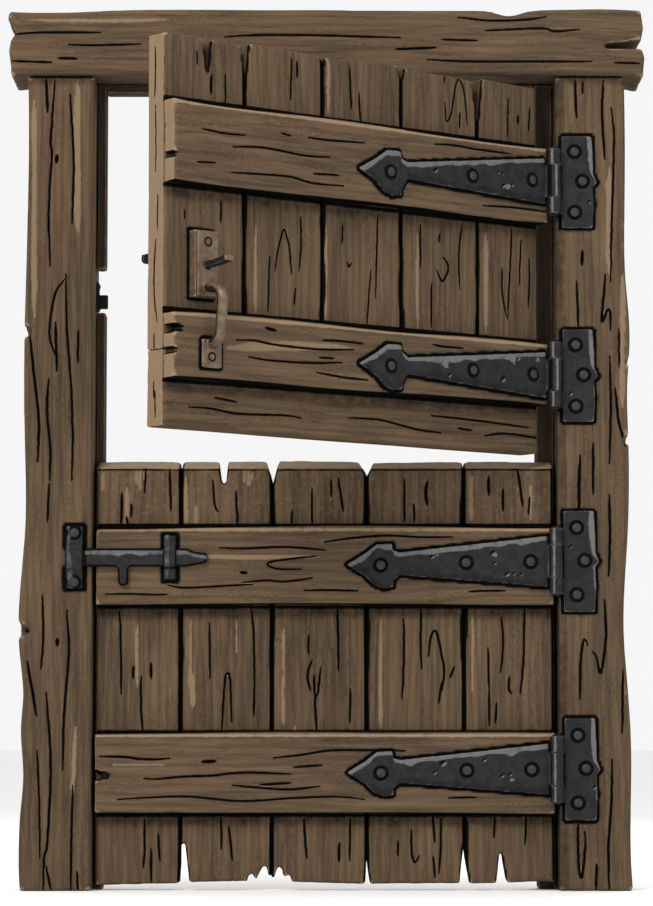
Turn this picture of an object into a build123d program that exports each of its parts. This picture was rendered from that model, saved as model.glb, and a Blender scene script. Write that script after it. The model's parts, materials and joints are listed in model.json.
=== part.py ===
from build123d import *
from math import radians, sin, tan
import os

# A two-leaf plank stable door in its timber frame, in millimetres.
# X runs to the right seen from outside, Y runs into the building and Z is up.
# The origin is the middle of the hinge post's foot, where the post meets the ground.
# The upper leaf stands ajar on its hinges, and the lower leaf is closed with its bolt drawn.

os.makedirs("parts", exist_ok=True)

# Doorway and frame timbers
opening_width = 1220
opening_height = 2147
frame_depth = 200
hinge_post_width = 184
latch_post_width = 176
lintel_height = 180
lintel_overhang = 52
lintel_proud = 12
tenon_thickness = 56
tenon_height = 95
tenon_shoulder = 32
joint_clearance = 0.5
timber_arris = 7
stop_width = 25
hinge_stop_width = 50
stop_thickness = 60
stop_arris = 2

# Gaps round the leaves, and how far the upper leaf stands open
side_gap = 10
head_gap = 20
middle_gap = 10
foot_gap = 14
stop_gap = 3
open_angle = 37.2

# Leaf timbers
upper_leaf_height = 985
board_thickness = 70
ledge_thickness = 45
seam_gap = 2
board_arris = 6
ledge_arris = 5
weathering_rise = 26

# Boards of each leaf from the free edge to the hinges: share of the width, drop of the top left
# and top right corner, rise of the bottom left and bottom right corner, and what is planed off the back
upper_boards = [
    (243, 4, 10, 0, 0, 0),
    (243, 3, 6, 0, 0, 0),
    (254, 10, 0, 0, 0, 3),
    (254, 5, 12, 0, 0, 1),
    (206, 2, 7, 0, 0, 2),
]
lower_boards = [
    (221, 6, 2, 0, 4, 0),
    (240, 4, 3, 6, 12, 2),
    (248, 0, 5, 10, 2, 1),
    (256, 7, 3, 3, 5, 3),
    (235, 2, 6, 4, 9, 0),
]

# Ledges: distance of the middle line from the leaf's top or foot, and width of the timber
upper_ledge_top_drop = 278
upper_ledge_top_width = 202
upper_ledge_bottom_rise = 207
upper_ledge_bottom_width = 162
lower_ledge_top_drop = 286
lower_ledge_top_width = 204
lower_ledge_bottom_rise = 290
lower_ledge_bottom_width = 210
rail_overlap = 8
rail_slope = 11

# Strap hinges
knuckle_radius = 18
pin_radius = 9
pin_clearance = 0.06
pin_head_radius = 14
pin_head_height = 6
middle_knuckle_height = 86
outer_knuckle_height = 43
knuckle_gap = 0.6
iron_thickness = 7
iron_arris = 1.5
strap_root = 20.5
strap_rise = 12
low_strap_rise = -2
upper_strap_length = 642
lower_strap_length = 549
upper_strap_width = 122
lower_strap_width = 134
upper_neck_width = 44
lower_neck_width = 60
upper_spear_length = 136
lower_spear_length = 120
spear_width = 124
spear_drop = 9
high_spear_drop = 26
first_rivet = 66
plate_width = 87
upper_plate_height = 245
lower_plate_height = 266
plate_point = 9

# Outline of a strap's spear: share of its length back from the tip, share of its half width, rounding
spear_top = [(0.42, 0.50, 30), (0.66, 0.88, 16), (1.00, 0.90, 3), (1.01, 0.62, 8)]
spear_bottom = [(0.40, -0.46, 24), (0.60, -0.86, 18), (0.80, -1.00, 14), (1.02, -0.94, 3), (1.03, -0.66, 8)]
spear_end = 1.16

# Rivets, screws and nails
rivet_head_radius = 13
rivet_head_height = 6.5
rivet_shank_radius = 5
rivet_depth = 32
screw_head_radius = 7
screw_head_height = 3
screw_shank_radius = 3
screw_depth = 34
shank_clearance = 0.15
nail_size = 5
nail_head_size = 15
nail_head_height = 3.5
nail_depth = 88
nail_share = 0.32

# Slide bolt on the lower leaf, and the straps that hold it
bolt_width = 48
bolt_thickness = 14
bolt_play = 0.5
bolt_lift = 22
bolt_travel = 82
bolt_rest_gap = 3.5
bolt_tail = 82
tab_width = 27
tab_drop = 50
tab_root_radius = 8
bow_play = 3
bow_stock = 6
keeper_width = 47
keeper_height = 166
keeper_leg = 38
keeper_inset = 23
keeper_nail_inset = 18
guide_width = 35
guide_height = 120
guide_leg = 35
guide_inset = 176
spike_size = 9
spike_depth = 28

# Thumb latch on the upper leaf, with the lever's height above the lower ledge's middle line
latch_inset = 110
latch_rise = 203
packing_depth = 27
packing_margin = 4
latch_plate_width = 62
latch_plate_height = 160
latch_plate_above = 82
latch_plate_thickness = 6
foot_plate_width = 58
foot_plate_height = 70
foot_plate_drop = 18
grip_radius = 14
grip_reach = 62
grip_drop = 52
grip_foot_rise = 23
grip_bend = 30
lever_thickness = 14
lever_width = 26
lever_reach = 90
lever_curl = 8
tail_width = 12
lever_pin_radius = 3
lever_pin_length = 36
lever_boss_radius = 8
slot_clearance = 1.5
press_angle = 11

# Latch bar behind the upper leaf, and its catch on the latch post
bar_thickness = 10
bar_width = 30
bar_standoff = 22
bar_tip_inset = 3
bar_pivot_inset = 290
bar_end = 22
bar_rest_gap = 0.6
bar_play = 1
pivot_radius = 5
pivot_boss_radius = 16
pivot_head_radius = 11
pivot_head_height = 6
pivot_depth = 35
staple_width = 16
staple_stock = 5
staple_inset = 52
staple_depth = 24
catch_thickness = 6
catch_play = 3.5
catch_hold = 18
nose_thickness = 15
nose_reach = 30

# Places in the frame
front = -frame_depth / 2
back = frame_depth / 2
hinge_jamb = -hinge_post_width / 2
latch_jamb = hinge_jamb - opening_width
latch_post_middle = latch_jamb - latch_post_width / 2
frame_left = latch_jamb - latch_post_width
frame_right = hinge_post_width / 2
lintel_left = frame_left - lintel_overhang
lintel_right = frame_right + lintel_overhang
axis_x = hinge_jamb - side_gap / 2
axis_y = front - knuckle_radius

# Places in the leaves' own frame, which has its origin on the hinge axis at the ground. A closed
# leaf runs from there towards negative x, with its outside towards negative y.
ledge_front = knuckle_radius
board_front = ledge_front + ledge_thickness
board_back = board_front + board_thickness
hinge_edge = -side_gap / 2
leaf_width = opening_width - 2 * side_gap
free_edge = hinge_edge - leaf_width
jamb = free_edge - side_gap
upper_top = opening_height - head_gap
upper_bottom = upper_top - upper_leaf_height
lower_top = upper_bottom - middle_gap
upper_ledge_top = (upper_top - upper_ledge_top_drop, upper_ledge_top_width)
upper_ledge_bottom = (upper_bottom + upper_ledge_bottom_rise, upper_ledge_bottom_width)
lower_ledge_top = (lower_top - lower_ledge_top_drop, lower_ledge_top_width)
lower_ledge_bottom = (foot_gap + lower_ledge_bottom_rise, lower_ledge_bottom_width)
rail_top = upper_ledge_bottom[0] - rail_overlap
strap_face = ledge_front - iron_thickness

# Places of the bolt
bolt_middle = lower_ledge_top[0] + bolt_lift
bolt_back = ledge_front - bolt_play
bolt_face = bolt_back - bolt_thickness
bow_inside = bolt_face - bow_play
keeper_right = jamb - keeper_inset
keeper_middle = keeper_right - keeper_width / 2
guide_left = free_edge + guide_inset
guide_middle = guide_left + guide_width / 2
bolt_left = keeper_right + bolt_rest_gap
bolt_right = guide_left + guide_width + bolt_tail
tab_left = keeper_right + bolt_travel + tab_root_radius + 1

# Places of the latch
latch_x = free_edge + latch_inset
latch_height = upper_ledge_bottom[0] + latch_rise
foot_plate_middle = upper_ledge_bottom[0] - foot_plate_drop
grip_top = latch_height - grip_drop
grip_bottom = foot_plate_middle + grip_foot_rise
packing_front = board_front - packing_depth
plate_front = packing_front - latch_plate_thickness
plate_top = latch_height + latch_plate_above
plate_bottom = plate_top - latch_plate_height
foot_plate_front = ledge_front - latch_plate_thickness
lever_y = packing_front + lever_boss_radius + 0.5
bar_front = board_back + bar_standoff
bar_back = bar_front + bar_thickness
bar_low = latch_height + lever_thickness / 2 + bar_rest_gap
bar_middle = bar_low + bar_width / 2
bar_pivot = free_edge + bar_pivot_inset
bar_tip = free_edge + bar_tip_inset
tail_end = bar_back + 3
lift_ratio = (bar_back - lever_y) / (bar_pivot - latch_x - tail_width / 2)
tip_rise = (bar_pivot - bar_tip) * tan(radians(press_angle * lift_ratio))
staple_middle = free_edge + staple_inset
staple_low = bar_low - 4
staple_high = bar_low + bar_width + tip_rise + 2
notch_low = bar_low - 30
notch_high = staple_high + 16
nose_far = bar_front - catch_play
nose_near = nose_far - nose_thickness


# Faces, cutters and placing

def closed_face(points, radii=0):
    """A face from its corners, rounded where a radius is given."""
    return make_face(FilletPolyline(*points, radius=radii, close=True))


def slab(face, near, far):
    """Extrude a face drawn in x and z so that it fills the space from y = near to y = far."""
    return extrude(Plane.XZ.offset(-far) * face, amount=far - near)


def block(left, right, near, far, bottom, top):
    """A square-edged block between six planes."""
    return slab(closed_face([(left, bottom), (right, bottom), (right, top), (left, top)]), near, far)


def bar_section(profile, left, right):
    """Extrude a profile drawn in y and z from x = left to x = right."""
    return Pos(left, 0, 0) * extrude(Plane.YZ * profile, amount=right - left)


def rod(radius, x, z, near, far):
    """A round bar that runs along y."""
    return slab(Pos(x, z) * Circle(radius), near, far)


def upright(radius, bottom, top):
    """A round bar on the hinge axis."""
    return extrude(Plane.XY.offset(bottom) * Circle(radius), amount=top - bottom)


def cross_rod(radius, x, y, z, length):
    """A round bar that runs along x."""
    return Pos(x, y, z) * Rot(0, 90, 0) * Cylinder(radius, length)


def front_face(solid):
    """The face that looks outwards."""
    return solid.faces().sort_by(Axis.Y)[0]


def ease_front(solid, size):
    """Take the sharp arris off all round the front face."""
    return chamfer(front_face(solid).edges(), size)


def wedge(mouth, width, tip, near, far):
    """The space of a split that is open at its mouth and closes at its tip."""
    along = Vector(mouth[0] - tip[0], mouth[1] - tip[1]).normalized()
    middle = Vector(*mouth) + along * 4
    across = Vector(-along.Y, along.X) * (width / 2)
    corners = [tip] + [((middle + side * across).X, (middle + side * across).Y) for side in (1, -1)]
    return slab(closed_face(corners), near, far)


def cut_by(solid, cutters):
    """Take away from a solid those cutters that reach it."""
    box = solid.bounding_box()
    for cutter in cutters:
        reach = cutter.bounding_box()
        if reach.min.X < box.max.X and reach.max.X > box.min.X and reach.min.Z < box.max.Z \
                and reach.max.Z > box.min.Z:
            solid = solid - cutter
    return solid


def hang(shape, angle=0):
    """Put a shape drawn in the leaves' own frame on the hinge axis, turned open by an angle."""
    return Pos(axis_x, axis_y, 0) * Rot(0, 0, angle) * shape


def group(shapes):
    """Separate solids that are kept together as one piece."""
    return Compound(children=[solid for shape in shapes for solid in shape.solids()])


# Rivets, screws and nails

def stud(head_radius, head_height, shank_radius, depth):
    """A domed head in front of the plane y = 0 with a round shank behind it."""
    rim = -head_height * 0.25
    profile = make_face([Polyline((0, -head_height), (0, depth), (shank_radius, depth), (shank_radius, 0),
                                  (head_radius, 0), (head_radius, rim)),
                         TangentArc((0, -head_height), (head_radius, rim), tangent=(1, 0))])
    return revolve(profile, Axis.Y)


def rivet(x, z, seat):
    """A rivet whose head stands on the plane y = seat."""
    return Pos(x, seat, z) * stud(rivet_head_radius, rivet_head_height, rivet_shank_radius, rivet_depth)


def rivet_hole(x, z, seat):
    """The hole for a rivet's shank."""
    return rod(rivet_shank_radius + shank_clearance, x, z, seat - 1, seat + rivet_depth + 1)


def screw(x, z, seat):
    """A round-headed screw whose head stands on the plane y = seat."""
    return Pos(x, seat, z) * stud(screw_head_radius, screw_head_height, screw_shank_radius, screw_depth)


def screw_hole(x, z, seat):
    """The hole for a screw."""
    return rod(screw_shank_radius + shank_clearance, x, z, seat - 1, seat + screw_depth + 1)


def nail(x, z, seat):
    """A hand-made nail driven from behind: a four-sided head and a square shank."""
    plane = Plane.XZ.offset(-seat)
    shank = extrude(plane * (Pos(x, z) * Rectangle(nail_size, nail_size)), amount=nail_depth)
    head = extrude(plane * (Pos(x, z) * Rectangle(nail_head_size, nail_head_size)),
                   amount=-nail_head_height, taper=50)
    return shank + head


def nail_hole(x, z, seat):
    """The hole for a nail's shank."""
    size = nail_size + 2 * shank_clearance
    return extrude(Plane.XZ.offset(-seat - 1) * (Pos(x, z) * Rectangle(size, size)), amount=nail_depth + 2)


# Frame timbers

def post(inner, side, width, bulges, chips):
    """A hewn post with a straight inner face, a wandering outer edge and a tenon on its top."""
    outer = inner + side * width
    edge = Spline(*[(outer + side * bulge, share * opening_height) for share, bulge in bulges])
    sides = Polyline(edge @ 1, (inner, opening_height), (inner, 0), edge @ 0)
    body = slab(make_face([edge, sides]), front, back)
    body = ease_front(body, timber_arris)
    for share, tall, bite, depth in chips:
        body -= chip(outer, side, share * opening_height, tall, bite, depth)
    return body + tenon(inner + side * width / 2, width)


def chip(edge, side, height, tall, bite, depth):
    """The space of a chip knocked out of a post's outer edge, smaller towards the back."""
    outside, reach = edge + side * 40, edge - side * bite
    face = closed_face([(outside, height + tall * 0.7), (reach, height + tall * 0.15),
                        (reach, height - tall * 0.2), (outside, height - tall * 0.6)])
    return extrude(Plane.XZ.offset(-front + 1) * face, amount=-depth, taper=6)


def tenon(middle, width, clearance=0.0):
    """A post's tenon, or with a clearance the mortise for it."""
    half_width = width / 2 - tenon_shoulder + clearance
    half_thickness = tenon_thickness / 2 + clearance
    return block(middle - half_width, middle + half_width, -half_thickness, half_thickness,
                 opening_height - clearance, opening_height + tenon_height + clearance)


def lintel():
    """The head timber: dipped along its top, split at its ends, with a mortise over each post."""
    low, high, length = opening_height, opening_height + lintel_height, lintel_right - lintel_left
    upper_edge = Spline(*[(lintel_left + share * length, high + dip) for share, dip in lintel_dips])
    right_end = Polyline(upper_edge @ 1, *[(lintel_right + out, low + share * lintel_height)
                                           for share, out in lintel_right_end])
    underside = Polyline(right_end @ 1, (frame_right + 16, low), (frame_left - 14, low),
                         (lintel_left + 6, low - 4))
    left_end = Polyline(underside @ 1, *[(lintel_left + out, low + share * lintel_height)
                                         for share, out in lintel_left_end], upper_edge @ 0)
    body = slab(make_face([upper_edge, right_end, underside, left_end]), front - lintel_proud, back)
    body = ease_front(body, timber_arris)
    splits = []
    for end, side, mouth, width, tip, run, depth in lintel_splits:
        splits.append(wedge((end + side * 4, low + mouth * lintel_height), width,
                            (end - side * run * length, low + tip * lintel_height), front - 40, front + depth))
    mortises = [tenon(frame_right - hinge_post_width / 2, hinge_post_width, joint_clearance),
                tenon(latch_post_middle, latch_post_width, joint_clearance)]
    return cut_by(body, splits + mortises)


def stop(left, right, bottom, top):
    """A batten fixed inside the frame, which the closed leaves come up against."""
    near = axis_y + board_back + stop_gap
    return ease_front(block(left, right, near, near + stop_thickness, bottom, top), stop_arris)


# Boards and ledges

def board_edges(boards):
    """The left and right line of each board, measured along the leaf."""
    scale = leaf_width / sum(board[0] for board in boards)
    lines = [free_edge]
    for board in boards:
        lines.append(lines[-1] + board[0] * scale)
    return list(zip(lines[:-1], lines[1:]))


def make_boards(boards, bottom, top, cutters):
    """The upright boards of a leaf, with the seams between them and what is cut from them."""
    made = []
    for (left, right), board in zip(board_edges(boards), boards):
        share, top_left, top_right, foot_left, foot_right, planed = board
        left += seam_gap / 2 if left > free_edge else 0
        right -= seam_gap / 2 if right < hinge_edge - seam_gap else 0
        face = closed_face([(left, bottom + foot_left), (right, bottom + foot_right),
                            (right, top - top_right), (left, top - top_left)])
        body = ease_front(slab(face, board_front, board_back - planed), board_arris)
        made.append(cut_by(body, cutters))
    return made


def make_ledge(size, waves, splits, cutters):
    """A timber across a leaf with gently wandering edges, and splits (rise, width, run) in its free end."""
    middle, height = size
    low, high = middle - height / 2, middle + height / 2
    places = [free_edge + leaf_width * n / (len(waves) - 1) for n in range(len(waves))]
    upper_edge = Spline(*[(x, high + wave) for x, wave in zip(places, waves)])
    lower_edge = Spline(*[(x, low + 0.7 * wave) for x, wave in zip(places, reversed(waves))])
    ends = [Line(upper_edge @ 1, lower_edge @ 1), Line(lower_edge @ 0, upper_edge @ 0)]
    body = slab(make_face([upper_edge, lower_edge] + ends), ledge_front, board_front)
    body = ease_front(body, ledge_arris)
    openings = [wedge((free_edge, middle + rise), width, (free_edge + run, middle + rise - 3),
                      ledge_front - 1, board_front + 1) for rise, width, run in splits]
    return cut_by(body, openings + cutters)


def nails_of(boards, ledge_sizes, rail=0):
    """Two nails through each board at each ledge: x, z and the plane of the board's back."""
    places = []
    for (left, right), board in zip(board_edges(boards), boards):
        for middle, height in ledge_sizes:
            for share, rise in ((nail_share, 0.33), (1 - nail_share, -0.33)):
                z = middle + height * rise
                places.append((left + (right - left) * share, z, board_back - (0 if z < rail else board[5])))
    return places


def top_split(x, width, run, top):
    """A split that opens at the top of a board, with x measured from the free edge."""
    return wedge((free_edge + x, top), width, (free_edge + x + 2, top - run), board_front - 1, board_back + 1)


def foot_split(x, width, run, bottom):
    """A split that opens at the foot of a board, with x measured from the free edge."""
    return wedge((free_edge + x, bottom), width, (free_edge + x - 3, bottom + run),
                 board_front - 1, board_back + 1)


def rotten_foot():
    """The ragged bite out of the feet of two boards."""
    teeth = [(392, -9), (398, 22), (411, 34), (418, 12), (432, 40), (446, 58), (452, 26), (466, 18),
             (474, 44), (486, 52), (492, 20), (508, 28), (520, -9)]
    return slab(closed_face([(free_edge + x, foot_gap + z) for x, z in teeth]), board_front - 1, board_back + 1)


def weathering():
    """The sloping cut along the lower leaf's top that sheds rain outwards."""
    slope = weathering_rise / board_thickness
    start = board_front - 20
    profile = closed_face([(start, lower_top - weathering_rise - 20 * slope),
                           (board_back + 2, lower_top + 2 * slope),
                           (board_back + 2, lower_top + 30), (start, lower_top + 30)])
    return bar_section(profile, free_edge - 5, hinge_edge + 5)


# Strap hinges

def rolled_knuckle(bottom, top, side):
    """The round of a knuckle, where the iron is rolled round the pin and its end leaves a narrow slit."""
    slit_x = side * knuckle_radius * 0.72
    slit_y = strap_face - 1.6
    slit = Pos(slit_x, slit_y, (bottom + top) / 2) * Box(knuckle_radius * 0.5, 1.2, top - bottom + 2)
    return upright(knuckle_radius, bottom, top) - slit


def strap(length, width, neck, spear_length, drop):
    """A strap with its middle knuckle and a spear-shaped end, drawn round z = 0."""
    half_spear = spear_width / 2
    points, radii = [(-strap_root, width / 2), (24 - strap_root - first_rivet, width / 2 - 5)], [4, 80]
    neck_x = spear_end * spear_length - length
    for outline, side in ((reversed(spear_top), 1), (spear_bottom, -1)):
        places = [(share * spear_length - length, rise * half_spear - drop, r) for share, rise, r in outline]
        neck_point = (neck_x, side * neck / 2 - drop * 0.7, 10)
        places = [neck_point] + places + [(-length, -drop, 3)] if side > 0 else places + [neck_point]
        points += [(x, z) for x, z, r in places]
        radii += [r for x, z, r in places]
    points.append((-strap_root, -width / 2))
    radii.append(4)
    knuckle = middle_knuckle_height / 2
    body = ease_front(slab(closed_face(points, radii), strap_face, ledge_front), iron_arris)
    body += block(-strap_root - 3, 0, strap_face, ledge_front, -knuckle, knuckle)
    body += rolled_knuckle(-knuckle, knuckle, -1)
    body -= upright(pin_radius + pin_clearance, -knuckle - 1, knuckle + 1)
    return cut_by(body, [rivet_hole(x, z, strap_face) for x, z in strap_rivets(length, spear_length, drop)])


def hinge_plate(height):
    """The plate on the hinge post with the two outer knuckles and a point on its outer edge."""
    inner, outer = strap_root, knuckle_radius + plate_width
    points = [(inner, -height / 2), (outer - 3, -height / 2), (outer, -height * 0.25), (outer - 2, -14),
              (outer + plate_point, -2), (outer - 1, 22), (outer - 2, height * 0.3), (outer - 5, height / 2),
              (inner, height / 2)]
    radii = [4, 5, 30, 8, 4, 10, 40, 5, 4]
    body = ease_front(slab(closed_face(points, radii), strap_face, ledge_front), iron_arris)
    inside = middle_knuckle_height / 2 + knuckle_gap
    outside = middle_knuckle_height / 2 + outer_knuckle_height
    for low, high in ((-outside, -inside), (inside, outside)):
        body += block(0, inner + 3, strap_face, ledge_front, low, high)
        body += rolled_knuckle(low, high, 1)
    body -= upright(pin_radius + pin_clearance, -outside - 1, outside + 1)
    return cut_by(body, [rivet_hole(x, z, strap_face) for x, z in plate_rivets(height)])


def hinge_pin():
    """The pin through the three knuckles, with a domed head at each end."""
    half, r, h = middle_knuckle_height / 2 + outer_knuckle_height, pin_head_radius, pin_head_height
    profile = make_face([
        Line((0, -half - h), (0, half + h)),
        TangentArc((0, half + h), (r, half + 1), tangent=(1, 0)),
        Polyline((r, half + 1), (r, half), (pin_radius, half), (pin_radius, -half), (r, -half), (r, -half - 1)),
        TangentArc((0, -half - h), (r, -half - 1), tangent=(1, 0)),
    ])
    return revolve(Plane.XZ * profile, Axis.Z)


def strap_rivets(length, spear_length, drop):
    """Where the rivets go through a strap: x, and height from the strap's line."""
    last = spear_length * 0.75 - length
    return [(-first_rivet, -1), (-first_rivet + (last + first_rivet) * 0.43, -drop * 0.4), (last, -drop - 1)]


def plate_rivets(height):
    """Where the rivets go through a hinge plate."""
    near, far = knuckle_radius + plate_width * 0.42, knuckle_radius + plate_width * 0.66
    return [(near, height * 0.33), (far, 2), (near, -height * 0.33)]


# Slide bolt

def slide_bolt():
    """The flat bolt, drawn clear of its keeper, with a finger tab below and a tapered tail."""
    low, high = bolt_middle - bolt_width / 2, bolt_middle + bolt_width / 2
    tab_right = tab_left + tab_width
    points = [(bolt_left, low), (tab_left, low), (tab_left, low - tab_drop), (tab_right, low - tab_drop),
              (tab_right, low), (bolt_right - 58, low), (bolt_right - 2, low + 10), (bolt_right, high - 12),
              (bolt_right - 34, high - 9), (bolt_right - 54, high), (bolt_left, high)]
    radii = [3, tab_root_radius, 12, 12, tab_root_radius, 20, 10, 8, 9, 9, 3]
    return ease_front(slab(closed_face(points, radii), bolt_face, bolt_back), iron_arris)


def bowed_strap(middle, width, height, leg):
    """A strap bowed out over the bolt, with flat ends on the timber."""
    gap = bolt_width / 2 + bow_play
    end, flat, outside = height / 2, ledge_front - bow_stock, bow_inside - bow_stock
    half = [(flat, end, 2), (flat, end - leg + 4, 9), (outside, gap, 9)]
    inner = [(ledge_front, -end, 0), (ledge_front, -gap, 0), (bow_inside, -gap, 3), (bow_inside, gap, 3),
             (ledge_front, gap, 0), (ledge_front, end, 0)]
    loop = inner + half + [(y, -z, radius) for y, z, radius in reversed(half)]
    profile = closed_face([(y, bolt_middle + z) for y, z, radius in loop], [radius for y, z, radius in loop])
    return bar_section(profile, middle - width / 2, middle + width / 2)


def keeper_nails():
    """Where the keeper is nailed to the latch post."""
    reach = keeper_height / 2 - keeper_nail_inset
    return [(keeper_middle, bolt_middle + reach), (keeper_middle, bolt_middle - reach)]


def keeper():
    """The bowed strap on the latch post that the bolt shoots into."""
    body = bowed_strap(keeper_middle, keeper_width, keeper_height, keeper_leg)
    return cut_by(body, [rivet_hole(x, z, ledge_front - bow_stock) for x, z in keeper_nails()])


def guide_spikes(clearance=0.0):
    """The spikes of the bolt's guide, or with a clearance the holes for them."""
    reach = guide_height / 2 - guide_leg / 2
    size = spike_size + 2 * clearance
    return [Pos(guide_middle, ledge_front - 1 + spike_depth / 2, bolt_middle + side * reach)
            * Box(size, spike_depth + 2 * clearance, size) for side in (1, -1)]


def guide():
    """The staple on the ledge that the bolt slides in."""
    body = bowed_strap(guide_middle, guide_width, guide_height, guide_leg)
    for spike in guide_spikes():
        body += spike
    return body


# Thumb latch

def lever_slot(near, far, half_height):
    """The slot through a layer of the leaf that the lever swings in."""
    half = tail_width / 2 + slot_clearance
    rise = max(far - lever_y, 0) * tan(radians(press_angle))
    drop = max(lever_y - near, 0) * tan(radians(press_angle))
    edge = half_height + slot_clearance
    return block(latch_x - half, latch_x + half, near - 1, far + 1, latch_height - edge - drop,
                 latch_height + edge + rise)


def latch_screws():
    """Where the latch handle is screwed on: x, z and the plane under each head."""
    return [(latch_x, plate_top - 26, plate_front), (latch_x, foot_plate_middle - 8, foot_plate_front)]


def packing_block():
    """The wooden block that brings the latch plate out towards the ledge's face."""
    half = latch_plate_width / 2 + packing_margin
    body = ease_front(block(latch_x - half, latch_x + half, packing_front, board_front,
                            plate_bottom - 3, plate_top + 3), stop_arris)
    bore = cross_rod(lever_pin_radius + shank_clearance, latch_x, lever_y, latch_height, lever_pin_length + 1)
    return cut_by(body, [lever_slot(packing_front, board_front, lever_boss_radius), bore]
                  + [screw_hole(*place) for place in latch_screws()])


def lever_pin():
    """The short pin in the packing block that the thumb lever swings on."""
    return cross_rod(lever_pin_radius, latch_x, lever_y, latch_height, lever_pin_length)


def grip():
    """The round grip that bows out from the latch plate and comes back to the foot plate."""
    outside = plate_front - grip_reach
    path = FilletPolyline((latch_x, packing_front - 3.5, grip_top), (latch_x, outside, grip_top - 14),
                          (latch_x, outside + 8, grip_bottom + 12), (latch_x, ledge_front - 4.8, grip_bottom),
                          radius=grip_bend)
    return sweep(Plane(path @ 0, z_dir=path % 0) * Circle(grip_radius), path)


def latch_handle():
    """The latch plate, the grip and the foot plate, forged in one."""
    plates = []
    for width, low, high, near, far in (
            (latch_plate_width, plate_bottom, plate_top, plate_front, packing_front),
            (foot_plate_width, foot_plate_middle - foot_plate_height / 2,
             foot_plate_middle + foot_plate_height / 2, foot_plate_front, ledge_front)):
        left, right = latch_x - width / 2, latch_x + width / 2
        face = closed_face([(left, low), (right, low), (right, high), (left, high)], 5)
        plates.append(ease_front(slab(face, near, far), 1.2))
    body = plates[0] + plates[1] + grip()
    return cut_by(body, [lever_slot(plate_front, packing_front, lever_thickness / 2)]
                  + [screw_hole(*place) for place in latch_screws()])


def thumb_lever():
    """The lever: a curled thumb piece outside and a tail that reaches through the leaf under the bar."""
    half, root, bend, tip = lever_thickness / 2, plate_front - 4, plate_front - 40, plate_front - lever_reach
    upper = Spline((root, half), (bend, half + 2), (tip + 8, half + lever_curl))
    lower = Spline((tip + 4, lever_curl - half), (bend, 2 - half), (root, -half))
    tip_arc = ThreePointArc(upper @ 1, (tip, lever_curl), lower @ 0)
    side = make_face([upper, tip_arc, lower, Line(lower @ 1, upper @ 0)])
    thumb = bar_section(side, -lever_width / 2, lever_width / 2)
    tail = block(-tail_width / 2, tail_width / 2, plate_front - 14, tail_end, -half, half)
    boss = cross_rod(lever_boss_radius, 0, lever_y, 0, tail_width)
    bore = cross_rod(lever_pin_radius + pin_clearance, 0, lever_y, 0, tail_width + 2)
    return Pos(latch_x, 0, latch_height) * (thumb + tail + boss - bore)


def latch_bar():
    """The bar behind the leaf that drops behind the catch and rests just over the lever's tail."""
    low, high, end = bar_low, bar_low + bar_width, bar_pivot + bar_end
    points = [(bar_tip, low + 6), (bar_tip + 8, low), (end, low), (end, high), (bar_tip + 30, high),
              (bar_tip, high - 8)]
    body = ease_front(slab(closed_face(points, [3, 4, 9, 9, 12, 4]), bar_front, bar_back), 1)
    return body - rod(pivot_radius + pin_clearance, bar_pivot, bar_middle, bar_front - 1, bar_back + 1)


def bar_stud():
    """The stud that the bar turns on, with a boss that holds the bar off the boards."""
    root, boss_end, head = board_back - pivot_depth, bar_front - bar_play / 2, bar_back + bar_play
    profile = closed_face([(0, root), (pivot_radius, root), (pivot_radius, board_back),
                           (pivot_boss_radius, board_back), (pivot_boss_radius, boss_end),
                           (pivot_radius, boss_end), (pivot_radius, head),
                           (pivot_head_radius, head), (pivot_head_radius - 3, head + pivot_head_height),
                           (0, head + pivot_head_height)])
    return Pos(bar_pivot, 0, bar_middle) * revolve(profile, Axis.Y)


def staple_legs(clearance=0.0):
    """The ends of the bar's staple that go into the board, or with a clearance the holes for them."""
    size, stock = staple_width + 2 * clearance, staple_stock + 2 * clearance
    middle = board_back - staple_depth / 2 + 1
    return [Pos(staple_middle, middle, z) * Box(size, staple_depth + 2 * clearance, stock)
            for z in (staple_low - staple_stock / 2, staple_high + staple_stock / 2)]


def staple():
    """The staple behind the leaf that the bar moves up and down in."""
    inside, outside = bar_back + bar_play, bar_back + bar_play + staple_stock
    low, high = staple_low - staple_stock, staple_high + staple_stock
    points = [(board_back, low), (outside, low), (outside, high), (board_back, high), (board_back, staple_high),
              (inside, staple_high), (inside, staple_low), (board_back, staple_low)]
    profile = closed_face(points, [0, 6, 6, 0, 0, 2, 2, 0])
    body = bar_section(profile, staple_middle - staple_width / 2, staple_middle + staple_width / 2)
    for leg in staple_legs():
        body += leg
    return body


def catch_screws():
    """The height of the screws that hold the catch."""
    return [bar_low + 42, bar_low - 17]


def catch():
    """The catch on the latch post: a plate with a sloping nose that the bar drops behind."""
    plate = block(jamb, jamb + catch_thickness, nose_near, bar_back + 8, bar_low - 26, bar_low + 52)
    side = closed_face([(nose_near, bar_low - 20), (nose_far, bar_low - 20), (nose_far, bar_low + catch_hold),
                        (nose_far - 4, bar_low + catch_hold), (nose_near, bar_low - 2)])
    body = plate + bar_section(side, jamb, jamb + nose_reach)
    return cut_by(body, [side_screw(z, True) for z in catch_screws()])


def side_screw(z, hole=False):
    """A screw through the catch into the post, or the hole for it."""
    y = bar_back
    if hole:
        return cross_rod(screw_shank_radius + shank_clearance, jamb - 16, y, z, 2 * screw_depth)
    return Pos(jamb + catch_thickness, y, z) * Rot(0, 0, 90) * stud(
        screw_head_radius, screw_head_height, screw_shank_radius, screw_depth)


# The pieces, by name: frame pieces in place, leaf pieces in the leaves' own frame

frame_pieces, upper_pieces, lower_pieces = {}, {}, {}

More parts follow.
